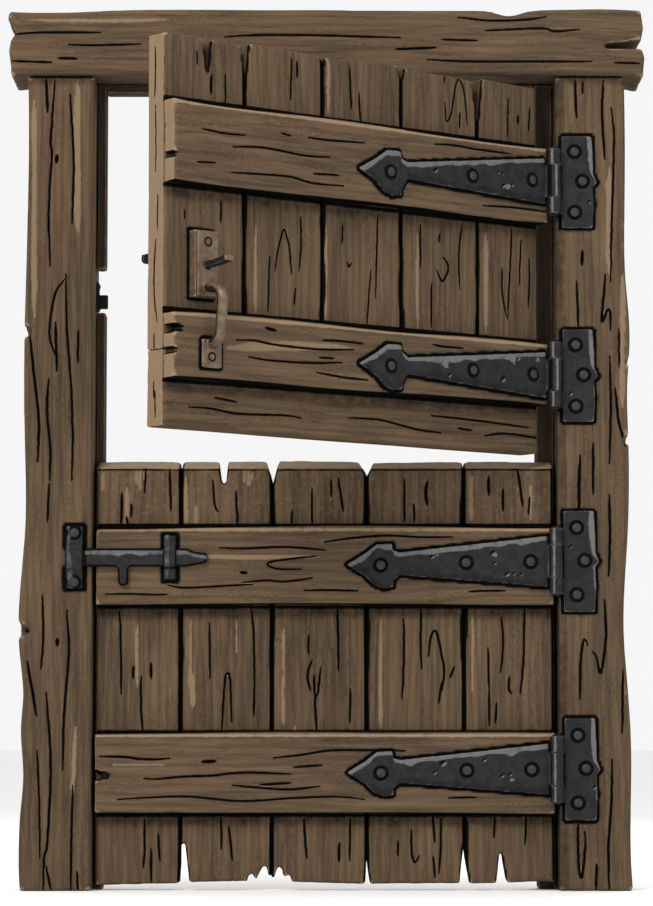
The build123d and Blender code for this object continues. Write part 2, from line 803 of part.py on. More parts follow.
# Height of each hinge's line, and how far its strap's spear hangs below that
upper_hinges = {"top": (upper_ledge_top[0] + strap_rise, high_spear_drop),
                "bottom": (upper_ledge_bottom[0] + low_strap_rise, spear_drop)}
lower_hinges = {"top": (lower_ledge_top[0] + strap_rise, spear_drop),
                "bottom": (lower_ledge_bottom[0] + strap_rise, spear_drop)}

# Hinges, with what is fixed to the post in the frame and what is fixed to the leaf in the leaf
post_rivets, post_holes = [], []
for leaf, pieces, hinges, plate_height, strap_size in (
        ("upper", upper_pieces, upper_hinges, upper_plate_height,
         (upper_strap_length, upper_strap_width, upper_neck_width, upper_spear_length)),
        ("lower", lower_pieces, lower_hinges, lower_plate_height,
         (lower_strap_length, lower_strap_width, lower_neck_width, lower_spear_length))):
    for place, (height, drop) in hinges.items():
        pieces[leaf + "_strap_" + place] = Pos(0, 0, height) * strap(*strap_size, drop)
        frame_pieces[leaf + "_hinge_plate_" + place] = hang(Pos(0, 0, height) * hinge_plate(plate_height))
        frame_pieces[leaf + "_hinge_pin_" + place] = hang(Pos(0, 0, height) * hinge_pin())
        for x, z in plate_rivets(plate_height):
            post_rivets.append(hang(rivet(x, height + z, strap_face)))
            post_holes.append(hang(rivet_hole(x, height + z, strap_face)))
frame_pieces["plate_rivets"] = group(post_rivets)

# Frame timbers: bulges of a post's outer edge (share of the height, bulge) and chips out of it
# (share of the height, tall, bite, depth)
hinge_post_bulges = [(0, 9), (0.066, 4), (0.197, 5), (0.323, -12), (0.436, 1), (0.553, 4), (0.623, 3),
                     (0.67, 9), (0.749, 0), (0.849, -1), (1, -1)]
latch_post_bulges = [(0, 8), (0.06, 12), (0.1, 7), (0.14, 1), (0.2, 8), (0.234, 3), (0.283, 13), (0.387, 11),
                     (0.438, 3), (0.555, 5), (0.726, 5), (0.806, 1), (1, 1)]
hinge_post_chips = [(0.549, 44, 12, 90), (0.645, 30, 9, 70)]
latch_post_chips = [(0.683, 50, 16, 110), (0.316, 44, 17, 90)]

# The lintel: dips of its upper edge (share of the length, dip), wander of its ends (share of the
# height, out), and splits (end, side, mouth, width, tip, run, depth)
lintel_dips = [(0, -8), (0.078, -10), (0.158, -4), (0.236, 0), (0.347, -1), (0.532, -5), (0.676, -6),
               (0.72, -6), (0.745, -6.5), (0.758, -9), (0.77, -15), (0.785, -20), (0.8, -17), (0.815, -9),
               (0.84, -4.5), (0.87, -3), (0.916, -1), (0.996, -5)]
lintel_right_end = [(0.7, 0), (0.468, -9), (0.26, 2), (-0.05, -3)]
lintel_left_end = [(0.4, 0), (0.52, 4), (0.62, 14), (0.7, 8), (0.85, -4)]
lintel_splits = [(lintel_right, 1, 0.468, 24, 0.387, 0.132, frame_depth + 1),
                 (lintel_left, -1, 0.642, 15, 0.67, 0.06, 80)]

latch_post_holes = [hang(rivet_hole(x, z, ledge_front - bow_stock)) for x, z in keeper_nails()]
latch_post_holes += [hang(side_screw(z, True)) for z in catch_screws()]

frame_pieces["hinge_post"] = cut_by(
    post(hinge_jamb, 1, hinge_post_width, hinge_post_bulges, hinge_post_chips), post_holes)
frame_pieces["latch_post"] = cut_by(
    post(latch_jamb, -1, latch_post_width, latch_post_bulges, latch_post_chips), latch_post_holes)
frame_pieces["lintel"] = lintel()
frame_pieces["hinge_stop"] = stop(hinge_jamb - hinge_stop_width, hinge_jamb, 0, opening_height)
frame_pieces["latch_stop_lower"] = stop(latch_jamb, latch_jamb + stop_width, 0, notch_low)
frame_pieces["latch_stop_upper"] = stop(latch_jamb, latch_jamb + stop_width, notch_high, opening_height)
frame_pieces["head_stop"] = stop(latch_jamb + stop_width, hinge_jamb - hinge_stop_width,
                                 opening_height - stop_width, opening_height)
frame_pieces["bolt_keeper"] = hang(keeper())
frame_pieces["keeper_nails"] = group(hang(rivet(x, z, ledge_front - bow_stock)) for x, z in keeper_nails())
frame_pieces["latch_catch"] = hang(catch())
frame_pieces["catch_screws"] = group(hang(side_screw(z)) for z in catch_screws())

# Upper leaf
upper_rivets = [(x, height + z) for height, drop in upper_hinges.values()
                for x, z in strap_rivets(upper_strap_length, upper_spear_length, drop)]
upper_nails = nails_of(upper_boards, (upper_ledge_top, upper_ledge_bottom), rail_top)
upper_cutters = [nail_hole(*place) for place in upper_nails]
upper_cutters += [rivet_hole(x, z, strap_face) for x, z in upper_rivets]
upper_cutters += [screw_hole(*place) for place in latch_screws()]
upper_splits = [top_split(x, width, run, upper_top) for x, width, run in (
    (128, 30, 128), (243, 30, 130), (486, 24, 44), (740, 34, 48), (994, 36, 158))]
latch_cutters = [lever_slot(board_front, board_back, lever_thickness / 2)] + staple_legs(shank_clearance)
latch_cutters.append(rod(pivot_radius + shank_clearance, bar_pivot, bar_middle, board_back - pivot_depth - 1,
                         board_back + 1))
for number, board in enumerate(make_boards(upper_boards, rail_top + seam_gap, upper_top,
                                           upper_splits + latch_cutters + upper_cutters), 1):
    upper_pieces["upper_board_" + str(number)] = board
rail_face = closed_face([(free_edge, upper_bottom + rail_slope), (hinge_edge, upper_bottom),
                         (hinge_edge, rail_top), (free_edge, rail_top)])
upper_pieces["upper_bottom_rail"] = cut_by(
    ease_front(slab(rail_face, board_front, board_back), board_arris), upper_cutters)
upper_pieces["upper_ledge_top"] = make_ledge(
    upper_ledge_top, [2, -3, 3, 0, -3, 1], [(40, 9, 66), (-34, 12, 40)], upper_cutters)
upper_pieces["upper_ledge_bottom"] = make_ledge(
    upper_ledge_bottom, [-2, 3, 0, -3, 2, 0], [(40, 20, 74), (-14, 14, 40)], upper_cutters)
upper_pieces["upper_strap_rivets"] = group(rivet(x, z, strap_face) for x, z in upper_rivets)
upper_pieces["upper_nails"] = group(nail(*place) for place in upper_nails)
upper_pieces["latch_packing"] = packing_block()
upper_pieces["latch_handle"] = latch_handle()
upper_pieces["latch_screws"] = group(screw(*place) for place in latch_screws())
upper_pieces["lever_pin"] = lever_pin()
upper_pieces["thumb_lever"] = thumb_lever()
upper_pieces["latch_bar"] = latch_bar()
upper_pieces["bar_stud"] = bar_stud()
upper_pieces["bar_staple"] = staple()

# Lower leaf
lower_rivets = [(x, height + z) for height, drop in lower_hinges.values()
                for x, z in strap_rivets(lower_strap_length, lower_spear_length, drop)]
lower_nails = nails_of(lower_boards, (lower_ledge_top, lower_ledge_bottom))
lower_cutters = [nail_hole(*place) for place in lower_nails]
lower_cutters += [rivet_hole(x, z, strap_face) for x, z in lower_rivets] + guide_spikes(shank_clearance)
lower_splits = [top_split(x, width, run, lower_top) for x, width, run in (
    (221, 14, 40), (332, 26, 118), (461, 36, 76), (709, 46, 48), (965, 14, 40))]
lower_splits += [foot_split(x, width, run, foot_gap) for x, width, run in (
    (231, 30, 160), (711, 16, 90), (965, 30, 126), (1062, 32, 108))]
for number, board in enumerate(make_boards(lower_boards, foot_gap, lower_top, lower_splits
                                           + [rotten_foot(), weathering()] + lower_cutters), 1):
    lower_pieces["lower_board_" + str(number)] = board
lower_pieces["lower_ledge_top"] = make_ledge(
    lower_ledge_top, [-4, -2, 2, 4, 0, -2], [(-62, 8, 36)], lower_cutters)
lower_pieces["lower_ledge_bottom"] = make_ledge(
    lower_ledge_bottom, [-3, 0, 3, 2, 3, 2], [(-4, 27, 66)], lower_cutters)
lower_pieces["lower_strap_rivets"] = group(rivet(x, z, strap_face) for x, z in lower_rivets)
lower_pieces["lower_nails"] = group(nail(*place) for place in lower_nails)
lower_pieces["bolt_guide"] = guide()
lower_pieces["slide_bolt"] = slide_bolt()

for pieces, angle in ((upper_pieces, open_angle), (lower_pieces, 0)):
    for name, shape in pieces.items():
        export_step(hang(shape, angle), "parts/" + name + ".step")
for name, shape in frame_pieces.items():
    export_step(shape, "parts/" + name + ".step")
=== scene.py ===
# Weathered two-leaf plank stable door in a rough timber frame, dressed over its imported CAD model.
# Lists of splits and worn streaks hold a width, then points, in millimetres: on a leaf they are
# measured from its free edge and from the ground, on the frame they are x and height, and on a
# free end, as in endSplits, they are measured from the front and from the ground.
import json
import math
from types import SimpleNamespace

import bmesh
import bpy
import numpy as np
from mathutils import Matrix, Vector


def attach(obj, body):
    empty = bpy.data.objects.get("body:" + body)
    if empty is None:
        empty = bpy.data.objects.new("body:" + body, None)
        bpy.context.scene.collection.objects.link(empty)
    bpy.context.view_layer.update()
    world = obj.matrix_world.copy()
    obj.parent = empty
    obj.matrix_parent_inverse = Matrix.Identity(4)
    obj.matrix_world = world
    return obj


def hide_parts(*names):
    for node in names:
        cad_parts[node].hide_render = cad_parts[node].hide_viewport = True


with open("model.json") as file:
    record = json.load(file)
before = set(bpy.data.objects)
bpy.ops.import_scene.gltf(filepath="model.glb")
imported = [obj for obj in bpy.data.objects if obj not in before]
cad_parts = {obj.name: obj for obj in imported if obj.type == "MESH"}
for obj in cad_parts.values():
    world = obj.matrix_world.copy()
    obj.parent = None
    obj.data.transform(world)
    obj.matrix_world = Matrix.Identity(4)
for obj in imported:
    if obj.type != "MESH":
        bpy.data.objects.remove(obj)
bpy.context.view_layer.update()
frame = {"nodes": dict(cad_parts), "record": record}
nodes = frame["nodes"]
bodyOf = {node: body for body, members in frame["record"]["behaviour"]["bodies"].items() for node in members}
print("door frame and leaves loaded:", len(nodes), "nodes")

# where the leaves hang, in metres, and how far the upper one stands open, in degrees
hanging = {"axis": (-0.097, -0.118, 0), "upperAjar": 37.2, "leafReach": 1.205}


def straightSpace(node):
    # the piece's own straight frame: a leaf's closed frame on the hinge axis, or the room's
    if bodyOf[node] == "frame" and "hinge_plate" not in node:
        return Matrix.Identity(4)
    ajar = 0 if bodyOf[node] in ("frame", "lower_leaf", "slide_bolt") else hanging["upperAjar"]
    return Matrix.Translation(hanging["axis"]) @ Matrix.Rotation(math.radians(ajar), 4, "Z")


# large numbers that scramble a cell's corner and a seed into one without a pattern
scramble = {"corner": (374761, 668265, 1274126), "seed": 97463, "mixers": ((13, 1103515245), (15, 668265263))}


def ruffle(points, seed):
    # smooth value noise from -1 to 1 at each row of points
    cell = np.floor(points).astype(np.int64)
    part = points - cell
    part = part * part * (3 - 2 * part)
    total = np.zeros(len(points))
    for corner in range(8):
        step = np.array([corner & 1, corner >> 1 & 1, corner >> 2 & 1])
        mixed = ((cell + step) @ np.array(scramble["corner"]) + seed * scramble["seed"]) & 0xFFFFFFFF
        for bits, mixer in scramble["mixers"]:
            mixed = ((mixed ^ (mixed >> bits)) * mixer) & 0xFFFFFFFF
        mixed = mixed ^ (mixed >> 16)
        total += np.prod(np.where(step, part, 1 - part), axis=1) * (mixed / 2147483647.5 - 1)
    return total


def ease(low, high, value):
    # 0 below low, 1 above high, smooth between
    share = np.clip((value - low) / (high - low), 0, 1)
    return share * share * (3 - 2 * share)


def facing(normals, axis, side=1):
    # 1 where the surface looks along an axis, 0 where it looks elsewhere
    return ease(0.3, 0.7, normals[:, axis] * side)


def readVertices(mesh, what):
    values = np.empty(len(mesh.vertices) * 3, np.float32)
    mesh.vertices.foreach_get(what, values)
    return values.reshape(-1, 3).astype(float)


def positions(mesh):
    return readVertices(mesh, "co")


def outward(mesh):
    return readVertices(mesh, "normal")


def movePoints(mesh, places):
    mesh.vertices.foreach_set("co", places.astype(np.float32).ravel())
    mesh.update()


def edgeEnds(mesh):
    ends = np.empty(len(mesh.edges) * 2, np.int32)
    mesh.edges.foreach_get("vertices", ends)
    return ends.reshape(-1, 2)


def overEdges(ends, values, count):
    # at each vertex, the sum of what the vertices beside it hold
    total = np.bincount(ends[:, 0], values[ends[:, 1]], count)
    return total + np.bincount(ends[:, 1], values[ends[:, 0]], count)


def bendOf(mesh):
    # how sharply the surface bends at each vertex: above 0 on an arris, below 0 in a groove
    ends = edgeEnds(mesh)
    places, normals = positions(mesh), outward(mesh)
    run = places[ends[:, 1]] - places[ends[:, 0]]
    length = np.maximum(np.linalg.norm(run, axis=1), 1e-9)
    count = np.bincount(ends.ravel(), minlength=len(places))
    drop = np.bincount(ends[:, 0], -(run * normals[ends[:, 0]]).sum(1) / length, len(places))
    drop += np.bincount(ends[:, 1], (run * normals[ends[:, 1]]).sum(1) / length, len(places))
    bend = drop / np.maximum(count, 1)
    for _ in range(2):
        bend = 0.5 * bend + 0.5 * overEdges(ends, bend, len(places)) / np.maximum(count, 1)
    return bend


def evenArris(mesh, leastBend=0.12, rounds=4):
    # draws out the small steps that remeshing leaves along slanting edges
    ends = edgeEnds(mesh)
    sharp = bendOf(mesh) > leastBend
    ends = ends[sharp[ends[:, 0]] & sharp[ends[:, 1]]]
    count = np.bincount(ends.ravel(), minlength=len(sharp))
    for _ in range(rounds):
        places = positions(mesh)
        mean = np.column_stack([overEdges(ends, places[:, axis], len(places)) for axis in range(3)])
        mean /= np.maximum(count, 1)[:, None]
        places += (mean - places) * 0.5 * (count > 1)[:, None]
        movePoints(mesh, places)


def keepMark(mesh, name, values):
    # a number at each vertex that the piece's material reads
    mark = mesh.attributes.new(name, "FLOAT", "POINT")
    mark.data.foreach_set("value", np.asarray(values, np.float32))


def straightCopy(node, name, voxel):
    # an evenly faced copy of a CAD node in its own straight frame, ready for shaping
    space = straightSpace(node)
    mesh = nodes[node].data.copy()
    mesh.name = name
    mesh.transform(space.inverted())
    loose = bmesh.new()
    loose.from_mesh(mesh)
    bmesh.ops.remove_doubles(loose, verts=loose.verts, dist=0.00002)
    loose.to_mesh(mesh)
    loose.free()
    piece = bpy.data.objects.new(name, mesh)
    bpy.context.scene.collection.objects.link(piece)
    evenFaces = piece.modifiers.new("evenFaces", "REMESH")
    evenFaces.mode = "VOXEL"
    evenFaces.voxel_size = voxel * 1.0
    shaped = bpy.data.meshes.new_from_object(piece.evaluated_get(bpy.context.evaluated_depsgraph_get()))
    shaped.name = name
    piece.modifiers.clear()
    piece.data = shaped
    return piece, space


def hangPiece(piece, space, node, material):
    # back to its place in the room, smooth, and riding where its CAD node rides
    piece.data.transform(space)
    piece.data.polygons.foreach_set("use_smooth", [True] * len(piece.data.polygons))
    piece.data.materials.clear()
    piece.data.materials.append(material)
    piece.data.update()
    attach(piece, bodyOf[node])
    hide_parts(node)


# a hand-drawn line: the length of its short runs, and how far and how quickly it sways
stroke = {"run": 0.008, "sway": 0.0009, "waves": 90}


def strokeLine(points, start):
    # a line as short runs, in metres, slightly unsteady, with how far along each point is
    corners = [Vector((start + x / 1000, z / 1000)) for x, z in points]
    corners = [2 * corners[0] - corners[1]] + corners + [2 * corners[-1] - corners[-2]]
    run = []
    for before, here, after, beyond in zip(corners, corners[1:], corners[2:], corners[3:]):
        steps = max(2, int((after - here).length / stroke["run"]))
        for step in range(steps):
            t = step / steps
            run.append(0.5 * (2 * here + (after - before) * t + (2 * before - 5 * here + 4 * after - beyond) * t ** 2
                              + (3 * here - 3 * after + beyond - before) * t ** 3))
    run.append(corners[-2])
    line = np.array(run)
    line[:, 0] += ruffle(np.column_stack([line * stroke["waves"], np.zeros(len(line))]), 5) * stroke["sway"]
    along = np.concatenate([[0], np.cumsum(np.linalg.norm(np.diff(line, axis=0), axis=1))])
    return line, along / along[-1]


def nearStroke(flat, line, share, reach):
    # for points in a face's plane: distance to a line, and how far along it they are
    distance = np.full(len(flat), 1.0)
    place = np.zeros(len(flat))
    low, high = line.min(0) - reach, line.max(0) + reach
    inside = np.nonzero(((flat > low) & (flat < high)).all(1))[0]
    if not len(inside):
        return distance, place
    spots = flat[inside]
    for start, end, first, last in zip(line, line[1:], share, share[1:]):
        run = end - start
        t = np.clip(((spots - start) @ run) / max(run @ run, 1e-12), 0, 1)
        gap = np.linalg.norm(spots - (start + t[:, None] * run), axis=1)
        closer = gap < distance[inside]
        distance[inside[closer]] = gap[closer]
        place[inside[closer]] = first + (last - first) * t[closer]
    return distance, place


# a listed width in millimetres over this is half the line's width in metres
widthShare = {"splits": 2000, "endSplits": 2000, "worn": 1600}


def linesOf(look, kind, start):
    return [(width / widthShare[kind], *strokeLine(points, start)) for width, *points in look.get(kind, [])]


# nodes stand in rows in the editor, in the order in which they are made
shelf = {"nodes": 8, "left": -1500, "top": 700, "wide": 220, "tall": 280}


def addNode(tree, kind, **settings):
    row, column = divmod(len(tree.nodes), shelf["nodes"])
    node = tree.nodes.new(kind)
    node.location = (shelf["left"] + column * shelf["wide"], shelf["top"] - row * shelf["tall"])
    for name, value in settings.items():
        setattr(node, name, value)
    return node


def fillSockets(node, **values):
    for name, value in values.items():
        node.inputs[name.replace("_", " ")].default_value = value


def feed(tree, value, socket):
    # a number or a colour goes on the socket, and anything else is linked to it
    if isinstance(value, (int, float)):
        socket.default_value = value
    elif isinstance(value, tuple):
        socket.default_value = (*value, 1.0)
    else:
        tree.links.new(value, socket)


def noiseOf(tree, source, stretch, detail=4.0, roughness=0.6, distortion=0.0, shift=(0, 0, 0)):
    # a noise over a stretched copy of the source coordinates
    mapping = addNode(tree, "ShaderNodeMapping")
    fillSockets(mapping, Scale=stretch, Location=shift)
    noise = addNode(tree, "ShaderNodeTexNoise")
    fillSockets(noise, Scale=1.0, Detail=detail, Roughness=roughness, Distortion=distortion)
    tree.links.new(source, mapping.inputs["Vector"])
    tree.links.new(mapping.outputs["Vector"], noise.inputs["Vector"])
    return noise.outputs["Fac"]


def spread(tree, source, low, high, toLow=0.0, toHigh=1.0):
    # a value stretched smoothly from low..high to toLow..toHigh
    ranger = addNode(tree, "ShaderNodeMapRange", interpolation_type="SMOOTHSTEP")
    fillSockets(ranger, From_Min=low, From_Max=high, To_Min=toLow, To_Max=toHigh)
    tree.links.new(source, ranger.inputs["Value"])
    return ranger.outputs["Result"]


def maths(tree, operation, first, second=0.0, clamp=False):
    node = addNode(tree, "ShaderNodeMath", operation=operation, use_clamp=clamp)
    feed(tree, first, node.inputs[0])
    feed(tree, second, node.inputs[1])
    return node.outputs["Value"]


def times(tree, first, second, clamp=False):
    return maths(tree, "MULTIPLY", first, second, clamp)


def plus(tree, first, second, clamp=False):
    return maths(tree, "ADD", first, second, clamp)


def minus(tree, first, second):
    return maths(tree, "SUBTRACT", first, second)


def tint(tree, share, under, over):
    # lay one colour over another where share says
    mix = addNode(tree, "ShaderNodeMix", data_type="RGBA")
    for value, socket in ((share, mix.inputs[0]), (under, mix.inputs[6]), (over, mix.inputs[7])):
        feed(tree, value, socket)
    return mix.outputs[2]


def newGroup(name, inputs, outputs):
    # inputs given a value are plain numbers, those given None take coordinates
    group = bpy.data.node_groups.new(name, "ShaderNodeTree")
    for socket, value in inputs.items():
        kind = "NodeSocketVector" if value is None else "NodeSocketFloat"
        made = group.interface.new_socket(name=socket, in_out="INPUT", socket_type=kind)
        if value is not None:
            made.default_value = value
    for socket in outputs:
        group.interface.new_socket(name=socket, in_out="OUTPUT", socket_type="NodeSocketFloat")
    return group, addNode(group, "NodeGroupInput"), addNode(group, "NodeGroupOutput")


def sawnGrainGroup():
    # long grain: broad tone, growth lines, fine streaks, dark pores and specks, with a height for the bump
    group, given, out = newGroup("sawnGrain", {"Grain": None, "Line Spacing": 34.0},
                                 ("Tone", "Lines", "Streaks", "Pores", "Mottle", "Height"))
    grain = given.outputs["Grain"]
    tone = noiseOf(group, grain, (14, 14, 1.8), 4.0, 0.62, 0.3)
    warp = noiseOf(group, grain, (6, 6, 0.9), 3.0, 0.5, 0.2, (3, 1, 5))
    across = addNode(group, "ShaderNodeSeparateXYZ")
    group.links.new(grain, across.inputs["Vector"])
    width = plus(group, across.outputs["X"], times(group, across.outputs["Y"], 0.7))
    rings = plus(group, times(group, width, given.outputs["Line Spacing"]), times(group, warp, 5.0))
    wave = maths(group, "ABSOLUTE", minus(group, maths(group, "FRACT", rings), 0.5))
    lines = spread(group, wave, 0.02, 0.30, 1.0, 0.0)
    streaks = noiseOf(group, grain, (85, 85, 4.2), 5.0, 0.66, 0.15, (7, 2, 1))
    fibres = noiseOf(group, grain, (330, 330, 9), 3.0, 0.6, 0.0, (1, 9, 4))
    pores = spread(group, noiseOf(group, grain, (190, 190, 11), 2.0, 0.5, 0.0, (5, 5, 8)), 0.66, 0.76)
    height = plus(group, times(group, streaks, 0.9), times(group, fibres, 0.45))
    height = minus(group, height, times(group, lines, 0.16))
    height = minus(group, height, times(group, pores, 0.5))
    mixed = plus(group, times(group, streaks, 0.65), times(group, fibres, 0.35))
    patches = spread(group, noiseOf(group, grain, (24, 24, 4.5), 3.0, 0.55, 0.0, (2, 6, 3)), 0.47, 0.62)
    specks = spread(group, noiseOf(group, grain, (230, 230, 85), 3.0, 0.7, 0.0, (8, 1, 6)), 0.44, 0.60)
    made = {"Tone": tone, "Lines": lines, "Streaks": mixed, "Pores": pores, "Mottle": times(group, patches, specks),
            "Height": height}
    for socket, value in made.items():
        group.links.new(value, out.inputs[socket])
    return group


def arrisWearGroup():
    # a broken-up mask where an arris or a worn streak is worn bare, and where highlights and light are painted on
    group, given, out = newGroup("arrisWear", {"Mask": 0.0, "Place": None, "Patch Size": 60.0, "Amount": 0.8}, ["Wear"])
    scaled = addNode(group, "ShaderNodeVectorMath", operation="SCALE")
    group.links.new(given.outputs["Place"], scaled.inputs[0])
    group.links.new(given.outputs["Patch Size"], scaled.inputs["Scale"])
    patches = noiseOf(group, scaled.outputs["Vector"], (1, 1, 1), 4.0, 0.65)
    level = plus(group, given.outputs["Mask"], times(group, minus(group, patches, 0.5), 1.1))
    bareAndHighlight = spread(group, level, 0.28, 0.85)
    present = spread(group, given.outputs["Mask"], 0.02, 0.25)
    wearLight = times(group, times(group, bareAndHighlight, present), given.outputs["Amount"], clamp=True)
    group.links.new(wearLight, out.inputs["Wear"])
    return group


def settledGrimeGroup():
    # dirt and painted shade, darkest in splits, seams and corners and under what stands proud, thinning out raggedly
    group, given, out = newGroup("settledGrime", {"Mask": 0.0, "Place": None, "Amount": 0.9}, ["Grime"])
    cloud = noiseOf(group, given.outputs["Place"], (38, 38, 38), 4.0, 0.6)
    level = plus(group, given.outputs["Mask"], times(group, minus(group, cloud, 0.5), 0.7))
    dirtShadeColour = times(group, spread(group, level, 0.12, 0.95), spread(group, given.outputs["Mask"], 0.0, 0.2))
    group.links.new(times(group, dirtShadeColour, given.outputs["Amount"], clamp=True), out.inputs["Grime"])
    return group


sawnGrain, arrisWear, settledGrime = sawnGrainGroup(), arrisWearGroup(), settledGrimeGroup()


def useGroup(tree, group, **values):
    node = addNode(tree, "ShaderNodeGroup")
    node.node_tree = group
    for name, value in values.items():
        feed(tree, value, node.inputs[name.replace("_", " ")])
    return node


def readMark(tree, name):
    return addNode(tree, "ShaderNodeAttribute", attribute_type="GEOMETRY", attribute_name=name)


def newMaterial(name):
    material = bpy.data.materials.new(name)
    material.use_nodes = True
    tree = material.node_tree
    return material, tree, tree.nodes["Principled BSDF"]


def fitShader(tree, shader, look, colour, rough, height):
    tree.links.new(colour, shader.inputs["Base Color"])
    tree.links.new(rough, shader.inputs["Roughness"])
    bump = addNode(tree, "ShaderNodeBump")
    fillSockets(bump, Strength=look["bumpStrength"], Distance=look["bumpDepth"])
    tree.links.new(height, bump.inputs["Height"])
    tree.links.new(bump.outputs["Normal"], shader.inputs["Normal"])
    fillSockets(shader, Metallic=look["metallic"], Specular_IOR_Level=look["gloss"])


def timberFinish(name, look):
    # old sawn timber: browns along the grain, darker with dirt and painted shade in splits, seams and under ledges,
    # paler where it is worn and bleached and where highlights and light are painted on
    material, tree, shader = newMaterial(name)
    grain = readMark(tree, "grainPlace").outputs["Vector"]
    wearAndHighlight, bleachedAndLit, dirtAndShade = [readMark(tree, mark).outputs["Fac"] for mark in ("wearAndHighlight", "bleachedAndLit", "dirtAndShade")]
    cells = useGroup(tree, sawnGrain, Grain=grain, Line_Spacing=look["lineSpacing"]).outputs
    wearLight = useGroup(tree, arrisWear, Mask=wearAndHighlight, Place=grain, Patch_Size=look["patchSize"],
                    Amount=look["wearHighlightAmount"]).outputs["Wear"]
    fadeLight = useGroup(tree, arrisWear, Mask=bleachedAndLit, Place=grain, Patch_Size=look["patchSize"] * 1.6,
                    Amount=look["fadeLightAmount"]).outputs["Wear"]
    dirtShadeMask = useGroup(tree, settledGrime, Mask=dirtAndShade, Place=grain, Amount=look["dirtShadeAmount"]).outputs["Grime"]
    colour = tint(tree, spread(tree, cells["Tone"], 0.36, 0.64), look["dark"], look["mid"])
    fine = spread(tree, cells["Streaks"], 0.40, 0.66)
    colour = tint(tree, times(tree, fine, look["streakAmount"]), colour, look["light"])
    for mask, amount in (("Lines", "lineAmount"), ("Pores", "poreAmount"), ("Mottle", "mottleAmount")):
        colour = tint(tree, times(tree, cells[mask], look[amount]), colour, look["deep"])
    # pale where bleached and where light is painted on, bare where worn and where highlights are painted, near black
    # with dirt and painted shade
    for mask, over in ((fadeLight, "paleAndLit"), (wearLight, "bareAndHighlight"), (dirtShadeMask, "dirtShadeColour")):
        colour = tint(tree, mask, colour, look[over])
    rough = minus(tree, look["roughness"], times(tree, wearLight, 0.12))
    fitShader(tree, shader, look, colour, rough, cells["Height"])
    return material


def ironFinish(name, look):
    # forged iron under old black: mottled, dark with dirt and painted shade in the corners and on turned-away sides,
    # grey where it is worn and where highlights are painted
    material, tree, shader = newMaterial(name)
    place = addNode(tree, "ShaderNodeTexCoord").outputs["Object"]
    wearAndHighlight, dirtAndShade = [readMark(tree, mark).outputs["Fac"] for mark in ("wearAndHighlight", "dirtAndShade")]
    mottle = noiseOf(tree, place, (42, 42, 42), 5.0, 0.62, 0.4)
    grit = noiseOf(tree, place, (420, 420, 420), 3.0, 0.7)
    dimples = noiseOf(tree, place, (85, 85, 85), 2.0, 0.45)
    wearLight = useGroup(tree, arrisWear, Mask=wearAndHighlight, Place=place, Patch_Size=look["patchSize"],
                    Amount=look["wearShineAmount"]).outputs["Wear"]
    dirtShadeMask = useGroup(tree, settledGrime, Mask=dirtAndShade, Place=place, Amount=look["dirtShadeAmount"]).outputs["Grime"]
    colour = tint(tree, spread(tree, mottle, 0.38, 0.62), look["dark"], look["mid"])
    colour = tint(tree, spread(tree, grit, 0.56, 0.72, 0.0, 0.35), colour, look["light"])
    # near black with dirt and painted shade, then grey where worn and where highlights are painted
    for mask, over in ((dirtShadeMask, "dirtShadeColour"), (wearLight, "bareAndHighlight")):
        colour = tint(tree, mask, colour, look[over])
    rough = plus(tree, spread(tree, mottle, 0.3, 0.7, look["roughLow"], look["roughHigh"]), times(tree, wearLight, -0.12))
    rough = plus(tree, rough, times(tree, dirtShadeMask, 0.4), clamp=True)
    fitShader(tree, shader, look, colour, rough, plus(tree, dimples, times(tree, grit, 0.22)))
    return material


# the bare and pale colours also stand in for painted highlights and painted light, and the near-black dirt colour for
# painted shade
frameLook = {"dark": (0.053, 0.0365, 0.0238), "mid": (0.0885, 0.0580, 0.0342), "light": (0.127, 0.0855, 0.0505),
             "paleAndLit": (0.178, 0.124, 0.077), "bareAndHighlight": (0.238, 0.168, 0.104), "deep": (0.022, 0.0150, 0.0098),
             "dirtShadeColour": (0.0010, 0.0008, 0.0006), "lineSpacing": 40.0, "lineAmount": 0.24, "streakAmount": 0.66,
             "poreAmount": 0.55, "mottleAmount": 0.38, "patchSize": 38.0, "wearHighlightAmount": 0.8, "fadeLightAmount": 0.9,
             "dirtShadeAmount": 1.0, "roughness": 0.86, "metallic": 0.0, "gloss": 0.05, "bumpStrength": 0.8,
             "bumpDepth": 0.0016}
leafLook = dict(frameLook, mid=(0.0915, 0.0600, 0.0354), lineSpacing=44.0)
ledgeLook = dict(frameLook, mid=(0.0905, 0.0597, 0.0355), light=(0.131, 0.0890, 0.0530), dark=(0.056, 0.0385, 0.0250),
                 lineSpacing=38.0)
# the stops take a darker copy of the frame's browns: painted shade, as in a shaded reveal
shadedStopLook = dict(frameLook, mid=(0.062, 0.043, 0.028), dark=(0.040, 0.029, 0.020), light=(0.084, 0.060, 0.040))
ironLook = {"dark": (0.0110, 0.0110, 0.0115), "mid": (0.0175, 0.0175, 0.0185), "light": (0.028, 0.028, 0.029),
            "bareAndHighlight": (0.112, 0.112, 0.112), "dirtShadeColour": (0.0010, 0.0010, 0.0009), "patchSize": 45.0, "wearShineAmount": 0.9,
            "dirtShadeAmount": 1.0, "roughLow": 0.46, "roughHigh": 0.66, "metallic": 0.0, "gloss": 0.10,
            "bumpStrength": 0.6, "bumpDepth": 0.0010}
